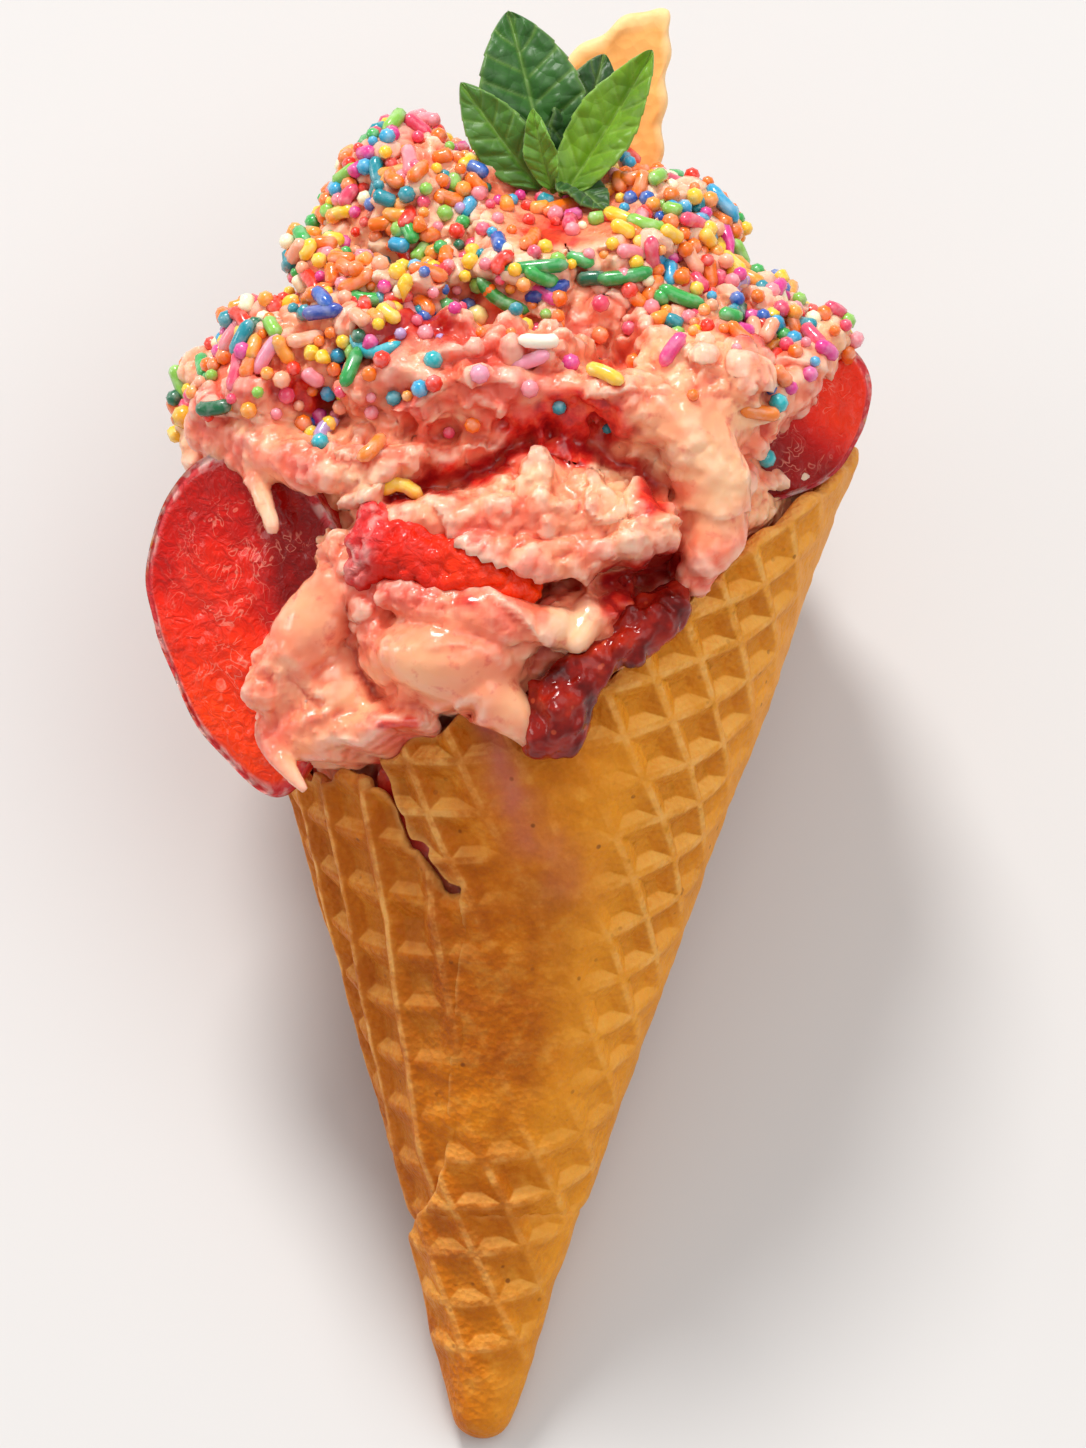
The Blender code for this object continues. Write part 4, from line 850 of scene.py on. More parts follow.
def turned(points, lean, turn, roll):
    # turned about x, then z, then y
    def about(points, axis, degrees):
        a, b = [(1, 2), (2, 0), (0, 1)][axis]
        c, s = np.cos(np.radians(degrees)), np.sin(np.radians(degrees))
        out = points.copy()
        out[..., a] = points[..., a] * c - points[..., b] * s
        out[..., b] = points[..., a] * s + points[..., b] * c
        return out
    return about(about(about(points, 0, roll), 2, lean), 1, turn)


def cutStrawberry(name):
    # a ball narrowed towards its tip and cut by a plane. Rows run from the middle of the cut face out to its rim and
    # on round the skin to the back; columns run round it
    centre, (halfLength, halfWidth, halfThick), lumpy, turns, cutAt = berryValues[name]
    v = cutValues
    columns, faceRows, skinRows = v["columns"], v["faceRows"], v["skinRows"]
    around = 2 * np.pi * np.arange(columns) / columns

    def narrowed(length, way):
        down = (1 - length) / 2
        lump = lumpy * swells(way / 0.45, 1, int(halfWidth))
        return (1.0 - 0.12 * down - (0.46 - lumpy) * down ** 2 - 0.10 * np.maximum(0, length)) * (1 + lump)

    def body(polar):
        way = onBall(polar, around)
        narrow = narrowed(way[..., 1], way)
        wide, thick = way[..., 0] * narrow * halfWidth, way[..., 2] * narrow * halfThick
        return np.stack([wide, way[..., 1] * halfLength, thick], -1)

    polar = np.full((1, columns), np.arccos(cutAt))
    for _ in range(6):  # the plane meets the body where thickness times narrowing is the cut's height
        way = onBall(polar, around)
        polar = np.arccos(np.clip(cutAt / narrowed(way[..., 1], way), -1, 1))
    rim = body(polar)
    faceShare = np.linspace(0, 1, faceRows + 1)[1:, None]
    face = rim * faceShare[..., None]
    face[..., 2] = cutAt * halfThick
    skinShare = np.linspace(0, 1, skinRows + 1)[1:-1, None]
    skin = body(polar + (np.pi - polar) * skinShare)
    # the face is moist and a little uneven, and its edge is rounded off
    inner = smoothStep(1 - faceShare, 0, 0.2)
    face[..., 2] += ((0.5 + 5 * lumpy) * swells(face, 7, 81) + 0.22 * swells(face, 2.2, 82)) * inner
    face[..., 2] += 5 * lumpy * (0.6 - grains(face, v["bubble"], 85)) * inner
    face[..., 2] -= v["edgeDrop"] * smoothStep(faceShare, 0.9, 1.0) ** 2
    # seeds sit in pits
    spacing = grains(skin, v["seedEvery"], 83)
    pit = smoothStep(0.36 - spacing, 0, 0.22)
    skin -= unit(skin) * (v["pitDepth"] * pit * smoothStep(skinShare, 0.02, 0.08))[..., None]
    skin += unit(skin) * ((0.5 + 4 * lumpy) * swells(skin, 5, 84) * smoothStep(skinShare, 0, 0.2))[..., None]
    back = body(np.full((1, columns), np.pi))[0, :1]
    points = np.concatenate([[[0, 0, cutAt * halfThick]], face.reshape(-1, 3), skin.reshape(-1, 3), back])
    points = turned(points, *turns) + np.array(centre, float)
    rows = faceRows + skinRows - 1
    depth = np.repeat(np.concatenate([faceShare, 1 + skinShare]), columns, 1)
    seed = np.concatenate([np.zeros((faceRows, columns)), smoothStep(0.17 - spacing, 0, 0.05)])
    # ripeness and painted shade, read where the piece lies: orange at the low end of the left half; painted shade
    # darkens the left half upwards and towards the mound, and all of the right half but its upper-right edge
    x, y, _ = points.T
    if name == "strawberry_left":
        ripenessAndShade = 0.64 - (y - 112) / 40 - smoothStep(x - 0.15 * (y - 112), -36, -25) * smoothStep(y, 104, 118) * 0.8
    else:
        ripenessAndShade = 0.02 + 0.68 * smoothStep((x - 33.3) * 0.595 + (y - 135.9) * 0.804, 0.5, 10)
    return putMesh(name + "_fruit", points, roundFaces(rows, columns), {
        "depth": np.concatenate([[0], depth.ravel(), [2]]), "seed": np.concatenate([[0], seed.ravel(), [0]]),
        "ripenessAndShade": np.clip(ripenessAndShade + 0.15 * swells(points, 6, 86), 0, 1),
    }, replaced=name)


def tornChunk():
    # balls along a wedge fused, then pushed out along the normals by round bubbles and slow swells
    v = chunkValues
    spots = np.concatenate([along(v["path"], np.linspace(0, 1, 30)), v["corners"]])
    skin, normals, quads = fused(*ballCloud(spots[:, :3], spots[:, 3]), v["voxel"])
    bubbles = caps(skin, v["bubble"], 88, 0.6)
    skin = skin + normals * (1.1 * bubbles + 0.6 * swells(skin, 4, 89) - 0.6)[:, None]
    x, y, _ = skin.T
    # pale pink with painted glints at the left corner, orange at the right end
    corner = smoothStep(-x + 0.4 * (y - 121), 14, 19) * (0.6 + 0.4 * bubbles)
    return putMesh("strawberry_chunk_fruit", skin, [quads], {
        "depth": 0.90 + 0.055 * corner, "seed": 0 * x,
        "ripenessAndShade": np.clip(0.62 + (x + 10) / 36 + 0.12 * swells(skin, 5, 90), 0, 1),
    }, replaced="strawberry_chunk")


def strawberryFlesh():
    # fresh strawberry, cut with a knife: wet and translucent, thin glints on the flesh, a red skin with sunk seeds
    material, add = newMaterial(
        "freshCutStrawberry", Roughness=0.25, IOR=1.36, Specular_IOR_Level=0.25, Coat_Weight=0.22, Coat_Roughness=0.02,
        Subsurface_Weight=0.25, Subsurface_Radius=(1.0, 0.16, 0.08), Subsurface_Scale=0.002)
    place = add("TexCoord").outputs["Object"]
    depth, seed, ripenessAndShade = [add("Attribute", attribute_name=key).outputs["Fac"] for key in ("depth", "seed", "ripenessAndShade")]
    half = add("Math", {0: depth, 1: 0.5}, operation="MULTIPLY")
    # crimson where painted shade lies, orange where ripest
    flesh = add("ValToRGB", {"Fac": ripenessAndShade}, stops=[
        (0.0, "#820806"), (0.35, "#cc160e"), (0.6, "#f02c12"), (0.95, "#ff4006")])
    # a paler line under the skin at the cut, pink with painted glints, then the skin
    skin = add("ValToRGB", {"Fac": half}, stops=[(0.47, 0.0), (0.52, 1.0)])
    cutEdge = add("ValToRGB", {"Fac": half}, stops=[(0.46, 0.0), (0.487, 0.75), (0.512, 0.55), (0.55, 0.0)])
    rimGlintNoise = add("TexNoise", {"Vector": place, "Scale": 480.0, "Detail": 1.0})
    rimWithPaintedGlints = add("ValToRGB", {"Fac": rimGlintNoise}, stops=[(0.46, "#e4545c"), (0.62, "#ffdcd4")])
    flow = add("TexNoise", {"Vector": place, "Scale": 130.0, "Detail": 4.0, "Distortion": 1.2})
    juice = add("ValToRGB", {"Fac": flow}, stops=[(0.44, 0.0), (0.70, 0.4)])
    # wet glints along the cut fibres, 0.3 mm wide and a few mm long, drawn as pale squiggles inside the face
    squiggle = add("TexNoise", {"Vector": place, "Scale": 310.0, "Detail": 1.0, "Distortion": 2.0})
    broken = add("TexNoise", {"Vector": place, "Scale": 210.0, "Detail": 1.0})
    glint = add("ValToRGB", {"Fac": squiggle}, stops=[(0.515, 0.0), (0.55, 0.6), (0.585, 0.0)])
    inside = add("ValToRGB", {"Fac": half}, stops=[(0.02, 0.9), (0.30, 0.8), (0.44, 0.0)])
    shown = add("ValToRGB", {"Fac": broken}, stops=[(0.44, 0.0), (0.54, 1.0)])
    for other in (inside, shown):
        glint = add("Math", {0: glint, 1: other}, operation="MULTIPLY")
    colour = layered(add, flesh, (
        (skin, 1.0, "#c01818"), (cutEdge, 1.0, rimWithPaintedGlints), (juice, 1.0, "#b8120e"), (glint, 1.0, "#ffa48c"),
        (seed, 1.0, "#e6b455")))
    ripple = add("TexNoise", {"Vector": place, "Scale": 560.0, "Detail": 3.0, "Distortion": 1.4})
    bump = add("Bump", {"Height": ripple, "Strength": 0.8, "Distance": 0.0009})
    return feed(material, {"Base Color": colour, "Normal": bump})


print("strawberries")
fruitMaterial = strawberryFlesh()
for piece in [cutStrawberry(name) for name in berryValues] + [tornChunk()]:
    piece.data.materials.append(fruitMaterial)


# Berry jam over the rim

jamValues = {
    "path": [
        (21.0, 117.8, 32.6, 1.4), (18.6, 114.4, 33.8, 3.2), (15.4, 112.0, 34.8, 3.3), (12.0, 110.2, 36.0, 2.4),
        (9.8, 107.4, 36.6, 2.9), (7.4, 104.8, 36.4, 4.0), (5.8, 102.2, 36.2, 4.6), (6.0, 100.0, 35.6, 3.8)],
    "voxel": 0.38, "lumps": 54, "lumpRadius": (1.0, 1.9),
    "ripples": [(0.9, 6, 93), (0.5, 2.4, 91), (0.2, 1.1, 92)],  # height, size and seed of each swell
}


def jamRun():
    # balls along the path with berry pieces set round it, fused, then rippled along the normals
    v = jamValues
    spots = along(v["path"], np.linspace(0, 1, 40))
    share = rng.random(v["lumps"])
    base = along(v["path"], share)
    ways = unit(rng.normal(size=(v["lumps"], 3)) + np.array([0, 0, 0.6]))
    lumps = base[:, :3] + ways * base[:, 3:] * 0.8
    centres = np.concatenate([spots[:, :3], lumps])
    radii = np.concatenate([spots[:, 3], rng.uniform(*v["lumpRadius"], v["lumps"])])
    skin, normals, quads = fused(*ballCloud(centres, radii), v["voxel"])
    lift = swellSum(skin, v["ripples"])
    return putMesh("berry_jam_run", skin + normals * lift[:, None], [quads], replaced="berry_jam")


def berryJam():
    # cooked berry jam: dark, clear and glossy, with seeds
    material, add = newMaterial(
        "cookedBerryJam", Roughness=0.2, IOR=1.42, Specular_IOR_Level=0.2, Coat_Weight=0.3, Coat_Roughness=0.02,
        Subsurface_Weight=0.2, Subsurface_Radius=(1.0, 0.08, 0.06), Subsurface_Scale=0.0015)
    place = add("TexCoord").outputs["Object"]
    pulp = add("TexNoise", {"Vector": place, "Scale": 260.0, "Detail": 3.0})
    cooked = add("ValToRGB", {"Fac": pulp}, stops=[(0.3, "#560604"), (0.5, "#8e160c"), (0.7, "#b02c16")])
    seeds = add("TexVoronoi", {"Vector": place, "Scale": 420.0})
    dots = add("ValToRGB", {"Fac": seeds.outputs["Distance"]}, stops=[(0.12, 0.7), (0.18, 0.0)])
    # a fine ripple of 1.5 mm, which gives the many small glints
    ripple = add("TexNoise", {"Vector": place, "Scale": 620.0, "Detail": 1.0})
    bump = add("Bump", {"Height": ripple, "Strength": 0.6, "Distance": 0.0008})
    return feed(material, {"Base Color": layered(add, cooked, [(dots, 1.0, "#c04a2a")]), "Normal": bump})


print("jam")
jamRun().data.materials.append(berryJam())


# Mint sprig

mintValues = {
    # foot, tip, half width, way the face looks, sag of the tip, rise of the edges as a share of their distance from
    # the midrib, tone from dark to light green
    "leaves": [
        ((3, 171, 6), (-3.1, 193.4, 4), 6.9, (0.10, 0.15, 1.0), 1.6, 0.22, 0.35),
        ((2, 170, 8), (-8.8, 183.4, 9), 3.9, (-0.35, 0.2, 1.0), 1.2, 0.25, 0.5),
        ((4.8, 168.8, 10), (15.8, 188.2, 11), 4.3, (-0.32, -0.1, 0.9), -1.2, 0.50, 0.75),
        ((3.5, 170, 9), (0.6, 180.0, 12), 2.2, (-0.3, 0.0, 1.0), 0.6, 0.4, 1.0),
        ((5, 171, 6), (9.6, 188.5, 2), 4.8, (0.3, 0.2, 1.0), 1.2, 0.22, 0.15),
        ((4.5, 171, 8), (10.6, 166.6, 13.5), 3.2, (0.2, 0.7, 0.7), 0.8, 0.25, 0.2),
    ],
    "thickness": 0.45, "veins": 6.5, "teeth": 9, "rimRound": 0.4,
    "stem": [(3.6, 162, 3.6, 1.3), (3.7, 168, 5.5, 1.4), (3.8, 174, 7.4, 1.4)], "stemTone": 0.8, "stemVein": 0.5,
}


def mintLeaf(number, foot, tip, halfWidth, faces, sag, fold, tone):
    # a pointed oval: share of the length by rows, share of the width by columns; folded along the midrib, quilted
    # between side veins that sweep towards the tip, with a saw-tooth edge
    v = mintValues
    foot, tip = np.array(foot, float), np.array(tip, float)
    length = np.linalg.norm(tip - foot)
    way = (tip - foot) / length
    face = unit(np.array(faces, float) - way * np.dot(faces, way))
    side = np.cross(way, face)
    share = np.linspace(0, 1, 90)[:, None]
    across = np.linspace(-1, 1, 41)[None]
    width = np.maximum(halfWidth * np.sin(np.pi * share ** 0.85) ** 0.75, 0.5 * (1 - share))
    teeth = (share * v["teeth"] + 0.2) % 1.0
    tooth = 1 + 0.05 * (0.5 - teeth) * smoothStep(np.abs(across), 0.75, 1.0) * smoothStep(share, 0.1, 0.2)
    vein = share * v["veins"] - 1.15 * np.abs(across) ** 0.85 * (1.1 - 0.3 * share) + 0.25 * (across > 0)
    toVein = np.abs(vein - np.round(vein))
    toRib = np.abs(across) * width
    groove = np.exp(-(toVein / 0.065) ** 2) * smoothStep(np.abs(across), 0.0, 0.12)
    rib = np.exp(-(toRib / 0.28) ** 2)
    quilt = (1 - (1 - 2 * toVein) ** 2) * np.sin(np.pi * np.clip(np.abs(across), 0, 1)) ** 0.7
    flat = np.stack([share * 30 + 0 * across, across * halfWidth + 0 * share, 0 * quilt + number], -1)
    rise = fold * toRib - 4 * sag * (share - 0.5) ** 2 + sag
    rise = rise + 0.10 * halfWidth * quilt * (0.75 + 0.5 * swells(flat, 2.2, 87)) - 0.22 * rib - 0.12 * groove
    rise = rise + 0.35 * np.abs(across) * np.sin(share * 14 + across * 2 + number)
    spot = foot + way * length * share[..., None] + side * (across * width * tooth)[..., None] + face * rise[..., None]
    inward = np.minimum((1 - np.abs(across)) * width, np.minimum(share, 1 - share) * length)
    thick = v["thickness"] * 0.5 * halfRound(np.clip(inward / v["rimRound"], 0, 1))[..., None]
    points = np.concatenate([(spot + face * thick).reshape(-1, 3), (spot - face * thick).reshape(-1, 3)])
    veined = np.maximum(rib, 0.8 * groove)
    margin = smoothStep(np.abs(across) + 0 * share, 0.86, 1.0)
    return putMesh(f"mint_leaf_{number + 1}", points, sheetFaces(*veined.shape), {
        "vein": np.tile(veined.ravel(), 2), "margin": np.tile(margin.ravel(), 2),
        "under": np.repeat([0.0, 1.0], veined.size), "tone": np.full(veined.size * 2, tone),
    }, replaced="mint_sprig")


def mintStem():
    # a square-edged stem: a profile of four soft corners carried along its path
    v, rows, columns = mintValues, 24, 24
    spots = along(v["stem"], np.linspace(0, 1, rows))
    turn = 2 * np.pi * np.arange(columns) / columns
    taper = np.sin(np.pi * np.linspace(0.06, 0.94, rows)) ** 0.25
    radius = (spots[:, 3] * taper)[:, None] * (1 + 0.08 * np.cos(4 * turn))
    rings = spots[:, None, :3] + np.stack([radius * np.cos(turn), 0 * radius, radius * np.sin(turn)], -1)
    points = np.concatenate([[spots[0, :3]], rings.reshape(-1, 3), [spots[-1, :3]]])
    shares = {"vein": v["stemVein"], "margin": 0.0, "under": 0.0, "tone": v["stemTone"]}
    shares = {key: np.full(len(points), value) for key, value in shares.items()}
    return putMesh("mint_stem", points, roundFaces(rows, columns), shares, replaced="mint_sprig")


def mintLeafGreen():
    # fresh mint leaf: thin, soft, quilted, a faint downy sheen, pale veins
    material, add = newMaterial(
        "freshMintLeaf", Roughness=0.42, IOR=1.4, Sheen_Weight=0.15, Coat_Weight=0.15, Coat_Roughness=0.3,
        Subsurface_Weight=0.15, Subsurface_Radius=(0.3, 0.8, 0.1), Subsurface_Scale=0.0012)
    place = add("TexCoord").outputs["Object"]
    vein, margin, under, tone = [
        add("Attribute", attribute_name=key).outputs["Fac"] for key in ("vein", "margin", "under", "tone")]
    green = add("ValToRGB", {"Fac": tone}, stops=[
        (0.1, "#153f0c"), (0.4, "#2c6418"), (0.75, "#6e9a0a"), (1.0, "#679a20")])
    mottle = add("TexNoise", {"Vector": place, "Scale": 260.0, "Detail": 4.0})
    darker = add("ValToRGB", {"Fac": mottle}, stops=[(0.35, 0.0), (0.7, 0.5)])
    colour = layered(add, green, (
        (darker, 1.0, "#1f4d10"), (vein, 0.26, "#a3c850"), (margin, 0.22, "#a9cc6c"), (under, 0.6, "#7d9f58")))
    # the quilting between the finest veins, 2 mm across, domed
    cells = add("TexVoronoi", {"Vector": place, "Scale": 480.0, "Randomness": 0.85})
    domes = add("Math", {0: 1.0, 1: cells.outputs["Distance"]}, operation="SUBTRACT")
    bump = add("Bump", {"Height": domes, "Strength": 0.55, "Distance": 0.0009})
    return feed(material, {"Base Color": colour, "Normal": bump})


print("mint")
mintMaterial = mintLeafGreen()
for piece in [mintLeaf(number, *values) for number, values in enumerate(mintValues["leaves"])] + [mintStem()]:
    piece.data.materials.append(mintMaterial)


# Biscuit

biscuitValues = {
    "corners": [(18.2, 195.4), (14.0, 195.0), (3.4, 187.4), (-0.6, 168.0), (2.0, 160.0), (16.8, 160.0)],
    "back": -7.0, "thickness": 3.6, "crimpDepth": 0.6, "crimpPitch": 6.4, "cornerRound": 4.2, "edgeRound": 1.0,
    "step": 0.3,  # between two points of the outline
}


def thinBiscuit():
    # a many-cornered slab: rows run from the middle of one face out to the edge, over it and back; columns run round
    # the outline, which is drawn in by a row of crimps
    v = biscuitValues
    corners = np.array(v["corners"], float)
    sides = []
    for start, end in zip(corners, np.roll(corners, -1, 0)):
        count = max(12, int(np.linalg.norm(end - start) / v["step"]))
        sides.append(start + (end - start) * np.linspace(0, 1, count, endpoint=False)[:, None])
    outline = np.concatenate(sides)
    reach = int(v["cornerRound"] / (2 * v["step"]))
    outline = np.mean([np.roll(outline, step, 0) for step in range(-reach, reach + 1)], 0)  # rounds the corners
    ahead = unit(np.roll(outline, -1, 0) - np.roll(outline, 1, 0))
    crimps = np.sin(np.pi * v["step"] * np.arange(len(outline)) / v["crimpPitch"]) ** 2
    outline = outline + np.stack([ahead[:, 1], -ahead[:, 0]], -1) * (v["crimpDepth"] * (1 - crimps))[:, None]
    middle = outline.mean(0)
    shareOut = np.linspace(0, 1, 34)[1:][:, None]
    spread = middle + (outline - middle)[None] * shareOut[..., None]
    toEdge = np.linalg.norm(outline - middle, axis=1)[None] * (1 - shareOut)
    half = v["thickness"] / 2
    rounded = half - v["edgeRound"] * (1 - halfRound(np.clip(toEdge / v["edgeRound"], 0, 1)))
    welt = 0.3 * np.exp(-((toEdge - 1.8) / 0.9) ** 2) * (1 - 0.6 * crimps)
    rows = []
    for sign in (1, -1):
        spot = np.concatenate([spread, np.full(spread.shape[:2] + (1,), sign)], -1)
        lift = rounded + 0.25 * swells(spot, 5, 95) + 0.06 * swells(spot, 1.6, 96) + welt - 0.3
        side = np.concatenate([spread, (v["back"] + half + sign * lift)[..., None]], -1)
        rows.append(side if sign == 1 else side[::-1][1:])
    grid = np.concatenate(rows)
    poles = [[*middle, v["back"] + half + half], [*middle, v["back"] + half - half]]
    points = np.concatenate([poles[:1], grid.reshape(-1, 3), poles[1:]])
    edge = np.repeat(np.concatenate([shareOut, shareOut[::-1][1:]]), len(outline), 1)
    return putMesh("thin_biscuit", points, roundFaces(grid.shape[0], len(outline)),
                   {"edge": np.concatenate([[0], edge.ravel(), [0]])}, replaced="biscuit")


def butterBiscuit():
    # thin butter biscuit, baked: pale gold, browner in patches, a dry open crumb
    material, add = newMaterial(
        "bakedButterBiscuit", Roughness=0.6, IOR=1.45,
        Subsurface_Weight=0.15, Subsurface_Radius=(1.0, 0.5, 0.2), Subsurface_Scale=0.0012)
    place = add("TexCoord").outputs["Object"]
    edge = add("Attribute", attribute_name="edge").outputs["Fac"]
    golden = add("ValToRGB", {"Fac": edge}, stops=[(0.5, "#fdb464"), (0.84, "#fbb05e"), (0.97, "#ffd294")])
    toast = add("TexNoise", {"Vector": place, "Scale": 210.0, "Detail": 5.0})
    toasted = add("ValToRGB", {"Fac": toast}, stops=[(0.46, 0.0), (0.75, 0.5)])
    crumb = add("TexVoronoi", {"Vector": place, "Scale": 650.0})
    bump = add("Bump", {"Height": crumb.outputs["Distance"], "Strength": 0.3, "Distance": 0.0005})
    return feed(material, {"Base Color": layered(add, golden, [(toasted, 1.0, "#ee9a44")]), "Normal": bump})


print("biscuit")
thinBiscuit().data.materials.append(butterBiscuit())


# Sprinkles: sugar strands and beads lying on the ice cream

sprinkleValues = {
    "tries": 60000, "apart": 1.6, "strandShare": 0.42, "strands": 850, "rimGlintNoise": 1200,
    "radius": 0.98, "length": (2.2, 4.6), "longShare": 0.16, "longLength": (4.8, 7.0), "beadRadius": (0.68, 1.22),
    "raised": 0.55, "bendBy": 0.5,  # height of a strand's middle as a share of its radius, spread of the bends
    "toFruit": 0.0014, "toTable": 0.003,  # m
    "colours": {
        "#f4781a": 27, "#f89c34": 10, "#f08a96": 8, "#e64a6c": 8, "#dc3c92": 7, "#f6a884": 4, "#f8c830": 9,
        "#8cc450": 6, "#36ac4e": 6, "#1590a0": 7, "#30a4d0": 6, "#2c60b8": 3, "#e8341e": 10, "#f8eec8": 4,
        "#b090c4": 2, "#146a4a": 2},
    # placed one by one on the side that shows: across, along, turn in degrees, length, colour
    "shown": [
        (-2.5, 154.5, 118, 8.0, "#3c9440"), (2.4, 158.5, -98, 9.5, "#2f9c4c"), (13.2, 158.0, 80, 8.0, "#2f9c4c"),
        (3.6, 155.6, 70, 7.0, "#2848a8"), (3.2, 148.4, 82, 6.5, "#f4ead6"), (1.8, 145.8, 80, 6.0, "#f09cb4"),
        (-18.0, 146.4, 96, 7.2, "#28b4c4"), (-20.5, 144.3, 10, 6.2, "#2f9c4c"), (-17.8, 134.4, 30, 6.0, "#f0852c"),
        (-14.0, 130.6, 95, 6.0, "#f6c63c"), (-24.6, 136.8, 20, 4.6, "#b49ac8"), (-38.5, 139.4, 80, 5.5, "#12643c"),
        (-25.0, 151.8, 85, 6.6, "#2848a8"), (19.5, 148.6, 30, 6.0, "#e0468c"), (-10.5, 157.4, 60, 5.6, "#e23c46"),
        (30.5, 141.0, 95, 6.0, "#f0852c"), (-31.5, 146.5, 40, 6.2, "#f09cb4"), (11.0, 144.8, 120, 6.0, "#f6c63c"),
    ],
    # across, along, radius, colour
    "shownBeads": [
        (-5.4, 152.4, 1.5, "#f4dc8c"), (-11.0, 157.2, 1.5, "#e0508c"), (-24.6, 135.0, 1.2, "#28b4c4"),
        (-43.0, 138.8, 1.6, "#f0b428"), (-5.0, 144.0, 1.3, "#f09cb4"), (-10.6, 145.8, 1.3, "#22b0b8"),
        (32.6, 141.8, 1.3, "#22b0b8"), (31.8, 135.7, 1.3, "#22b0b8"),
    ],
}


def dropped(shown):
    # the points of the ice cream under places in the view, looking down on the dressed side, and the skin's normals
    hits = [creamTree.ray_cast((s[0], s[1], 90.0), (0.0, 0.0, -1.0)) for s in shown]
    return np.array([h[0] for h in hits]), np.array([h[1] for h in hits])


def sprinkleShare(points):
    # how thickly they lie: heavy over the crown and the right shoulder, thinning down the front
    x, y, z = np.moveaxis(points, -1, 0)
    slope = y - 0.10 * z + 4 * swells(points, 10, 101)
    low = 155 - 15 * smoothStep(-x, 4, 20) - 8 * smoothStep(x, 18, 30) - 4 * smoothStep(-z, 0, 20)
    thick = smoothStep(swells(points, 8, 102) + 0.3 * smoothStep(-z, -12, 4), -0.2, 0.2)
    left = 1 - 0.6 * smoothStep(-x, 6, 14) * (1 - thick)
    return smoothStep(slope, low - 7, low + 8) * (0.12 + 0.88 * thick) * left + 0.012 * (y > 137)


def keptApart(points, gap):
    # goes through a shuffled list and keeps a point only if none kept so far is near, on a grid of cells
    kept, taken = [], {}
    for number, (point, cell) in enumerate(zip(points, np.floor(points / gap).astype(int))):
        around = [taken.get((cell[0] + a, cell[1] + b, cell[2] + c), []) for a, b, c in np.ndindex(3, 3, 3)]
        if all(np.dot(point - points[other], point - points[other]) > gap * gap for group in around for other in group):
            kept.append(number)
            taken.setdefault(tuple(cell + 1), []).append(number)
    return np.array(kept)


def strandMesh(name, middles, ways, normals, lengths, radius, bend, colours):
    # every strand at once: eight stations along a bent line laid on the ice cream, an eight-sided ring at each,
    # narrowed to a round end
    stations = np.array([0.0, 0.05, 0.16, 0.38, 0.62, 0.84, 0.95, 1.0])
    swell = np.array([0.0, 0.62, 1.0, 1.0, 1.0, 1.0, 0.62, 0.0])
    sides = np.cross(ways, normals)
    offset = (stations - 0.5)[None] * lengths[:, None]
    bow = bend[:, None] * offset ** 2 / lengths[:, None]
    line = middles[:, None] + ways[:, None] * offset[..., None] + sides[:, None] * bow[..., None]
    hits = [creamTree.find_nearest(spot)[:2] for spot in line.reshape(-1, 3).tolist()]
    laid = np.array([h[0] for h in hits]).reshape(line.shape)
    lifted = laid + normals[:, None] * radius * sprinkleValues["raised"]
    line = 0.45 * line + 0.55 * lifted
    line[:, 1:-1] = (line[:, :-2] + 2 * line[:, 1:-1] + line[:, 2:]) / 4
    forward = unit(np.gradient(line, axis=1))
    across = unit(np.cross(forward, normals[:, None]))
    over = np.cross(across, forward)
    turn = 2 * np.pi * np.arange(8) / 8
    ring = across[:, 1:-1, None] * np.cos(turn)[:, None] + over[:, 1:-1, None] * np.sin(turn)[:, None]
    rings = line[:, 1:-1, None] + ring * (radius * swell[1:-1])[None, :, None, None]
    points = np.concatenate([line[:, :1], rings.reshape(len(line), -1, 3), line[:, -1:]], 1)
    dye = np.repeat(colours, points.shape[1], 0)
    return putMesh(name, points, manyFaces(len(line), 6, 8), {"dye": dye}, replaced="ice_cream")


def sugarStrands():
    # pressed sugar, dyed: smooth and waxy with a soft shine
    material, add = newMaterial(
        "dyedSugar", Roughness=0.25, IOR=1.5, Coat_Weight=0.4, Coat_Roughness=0.1,
        Subsurface_Weight=0.45, Subsurface_Radius=(1.0, 0.8, 0.7), Subsurface_Scale=0.0009)
    dye = add("Attribute", attribute_name="dye").outputs["Color"]
    cloud = add("TexNoise", {"Vector": add("TexCoord").outputs["Object"], "Scale": 700.0, "Detail": 3.0})
    clouded = add("ValToRGB", {"Fac": cloud}, stops=[(0.45, 0.0), (0.75, 0.22)])
    bump = add("Bump", {"Height": cloud, "Strength": 0.3, "Distance": 0.0003})
    return feed(material, {"Base Color": layered(add, dye, [(clouded, 1.0, "#ffffff")]), "Normal": bump})


def dyes(shown, palette, count):
    # the colours of those listed, then colours drawn by their weights
    weights = np.array(list(palette.values()), float)
    picked = rng.choice(len(weights), count, p=weights / weights.sum())
    return np.concatenate([[linear(s[-1])[:3] for s in shown], np.array([linear(c)[:3] for c in palette])[picked]])


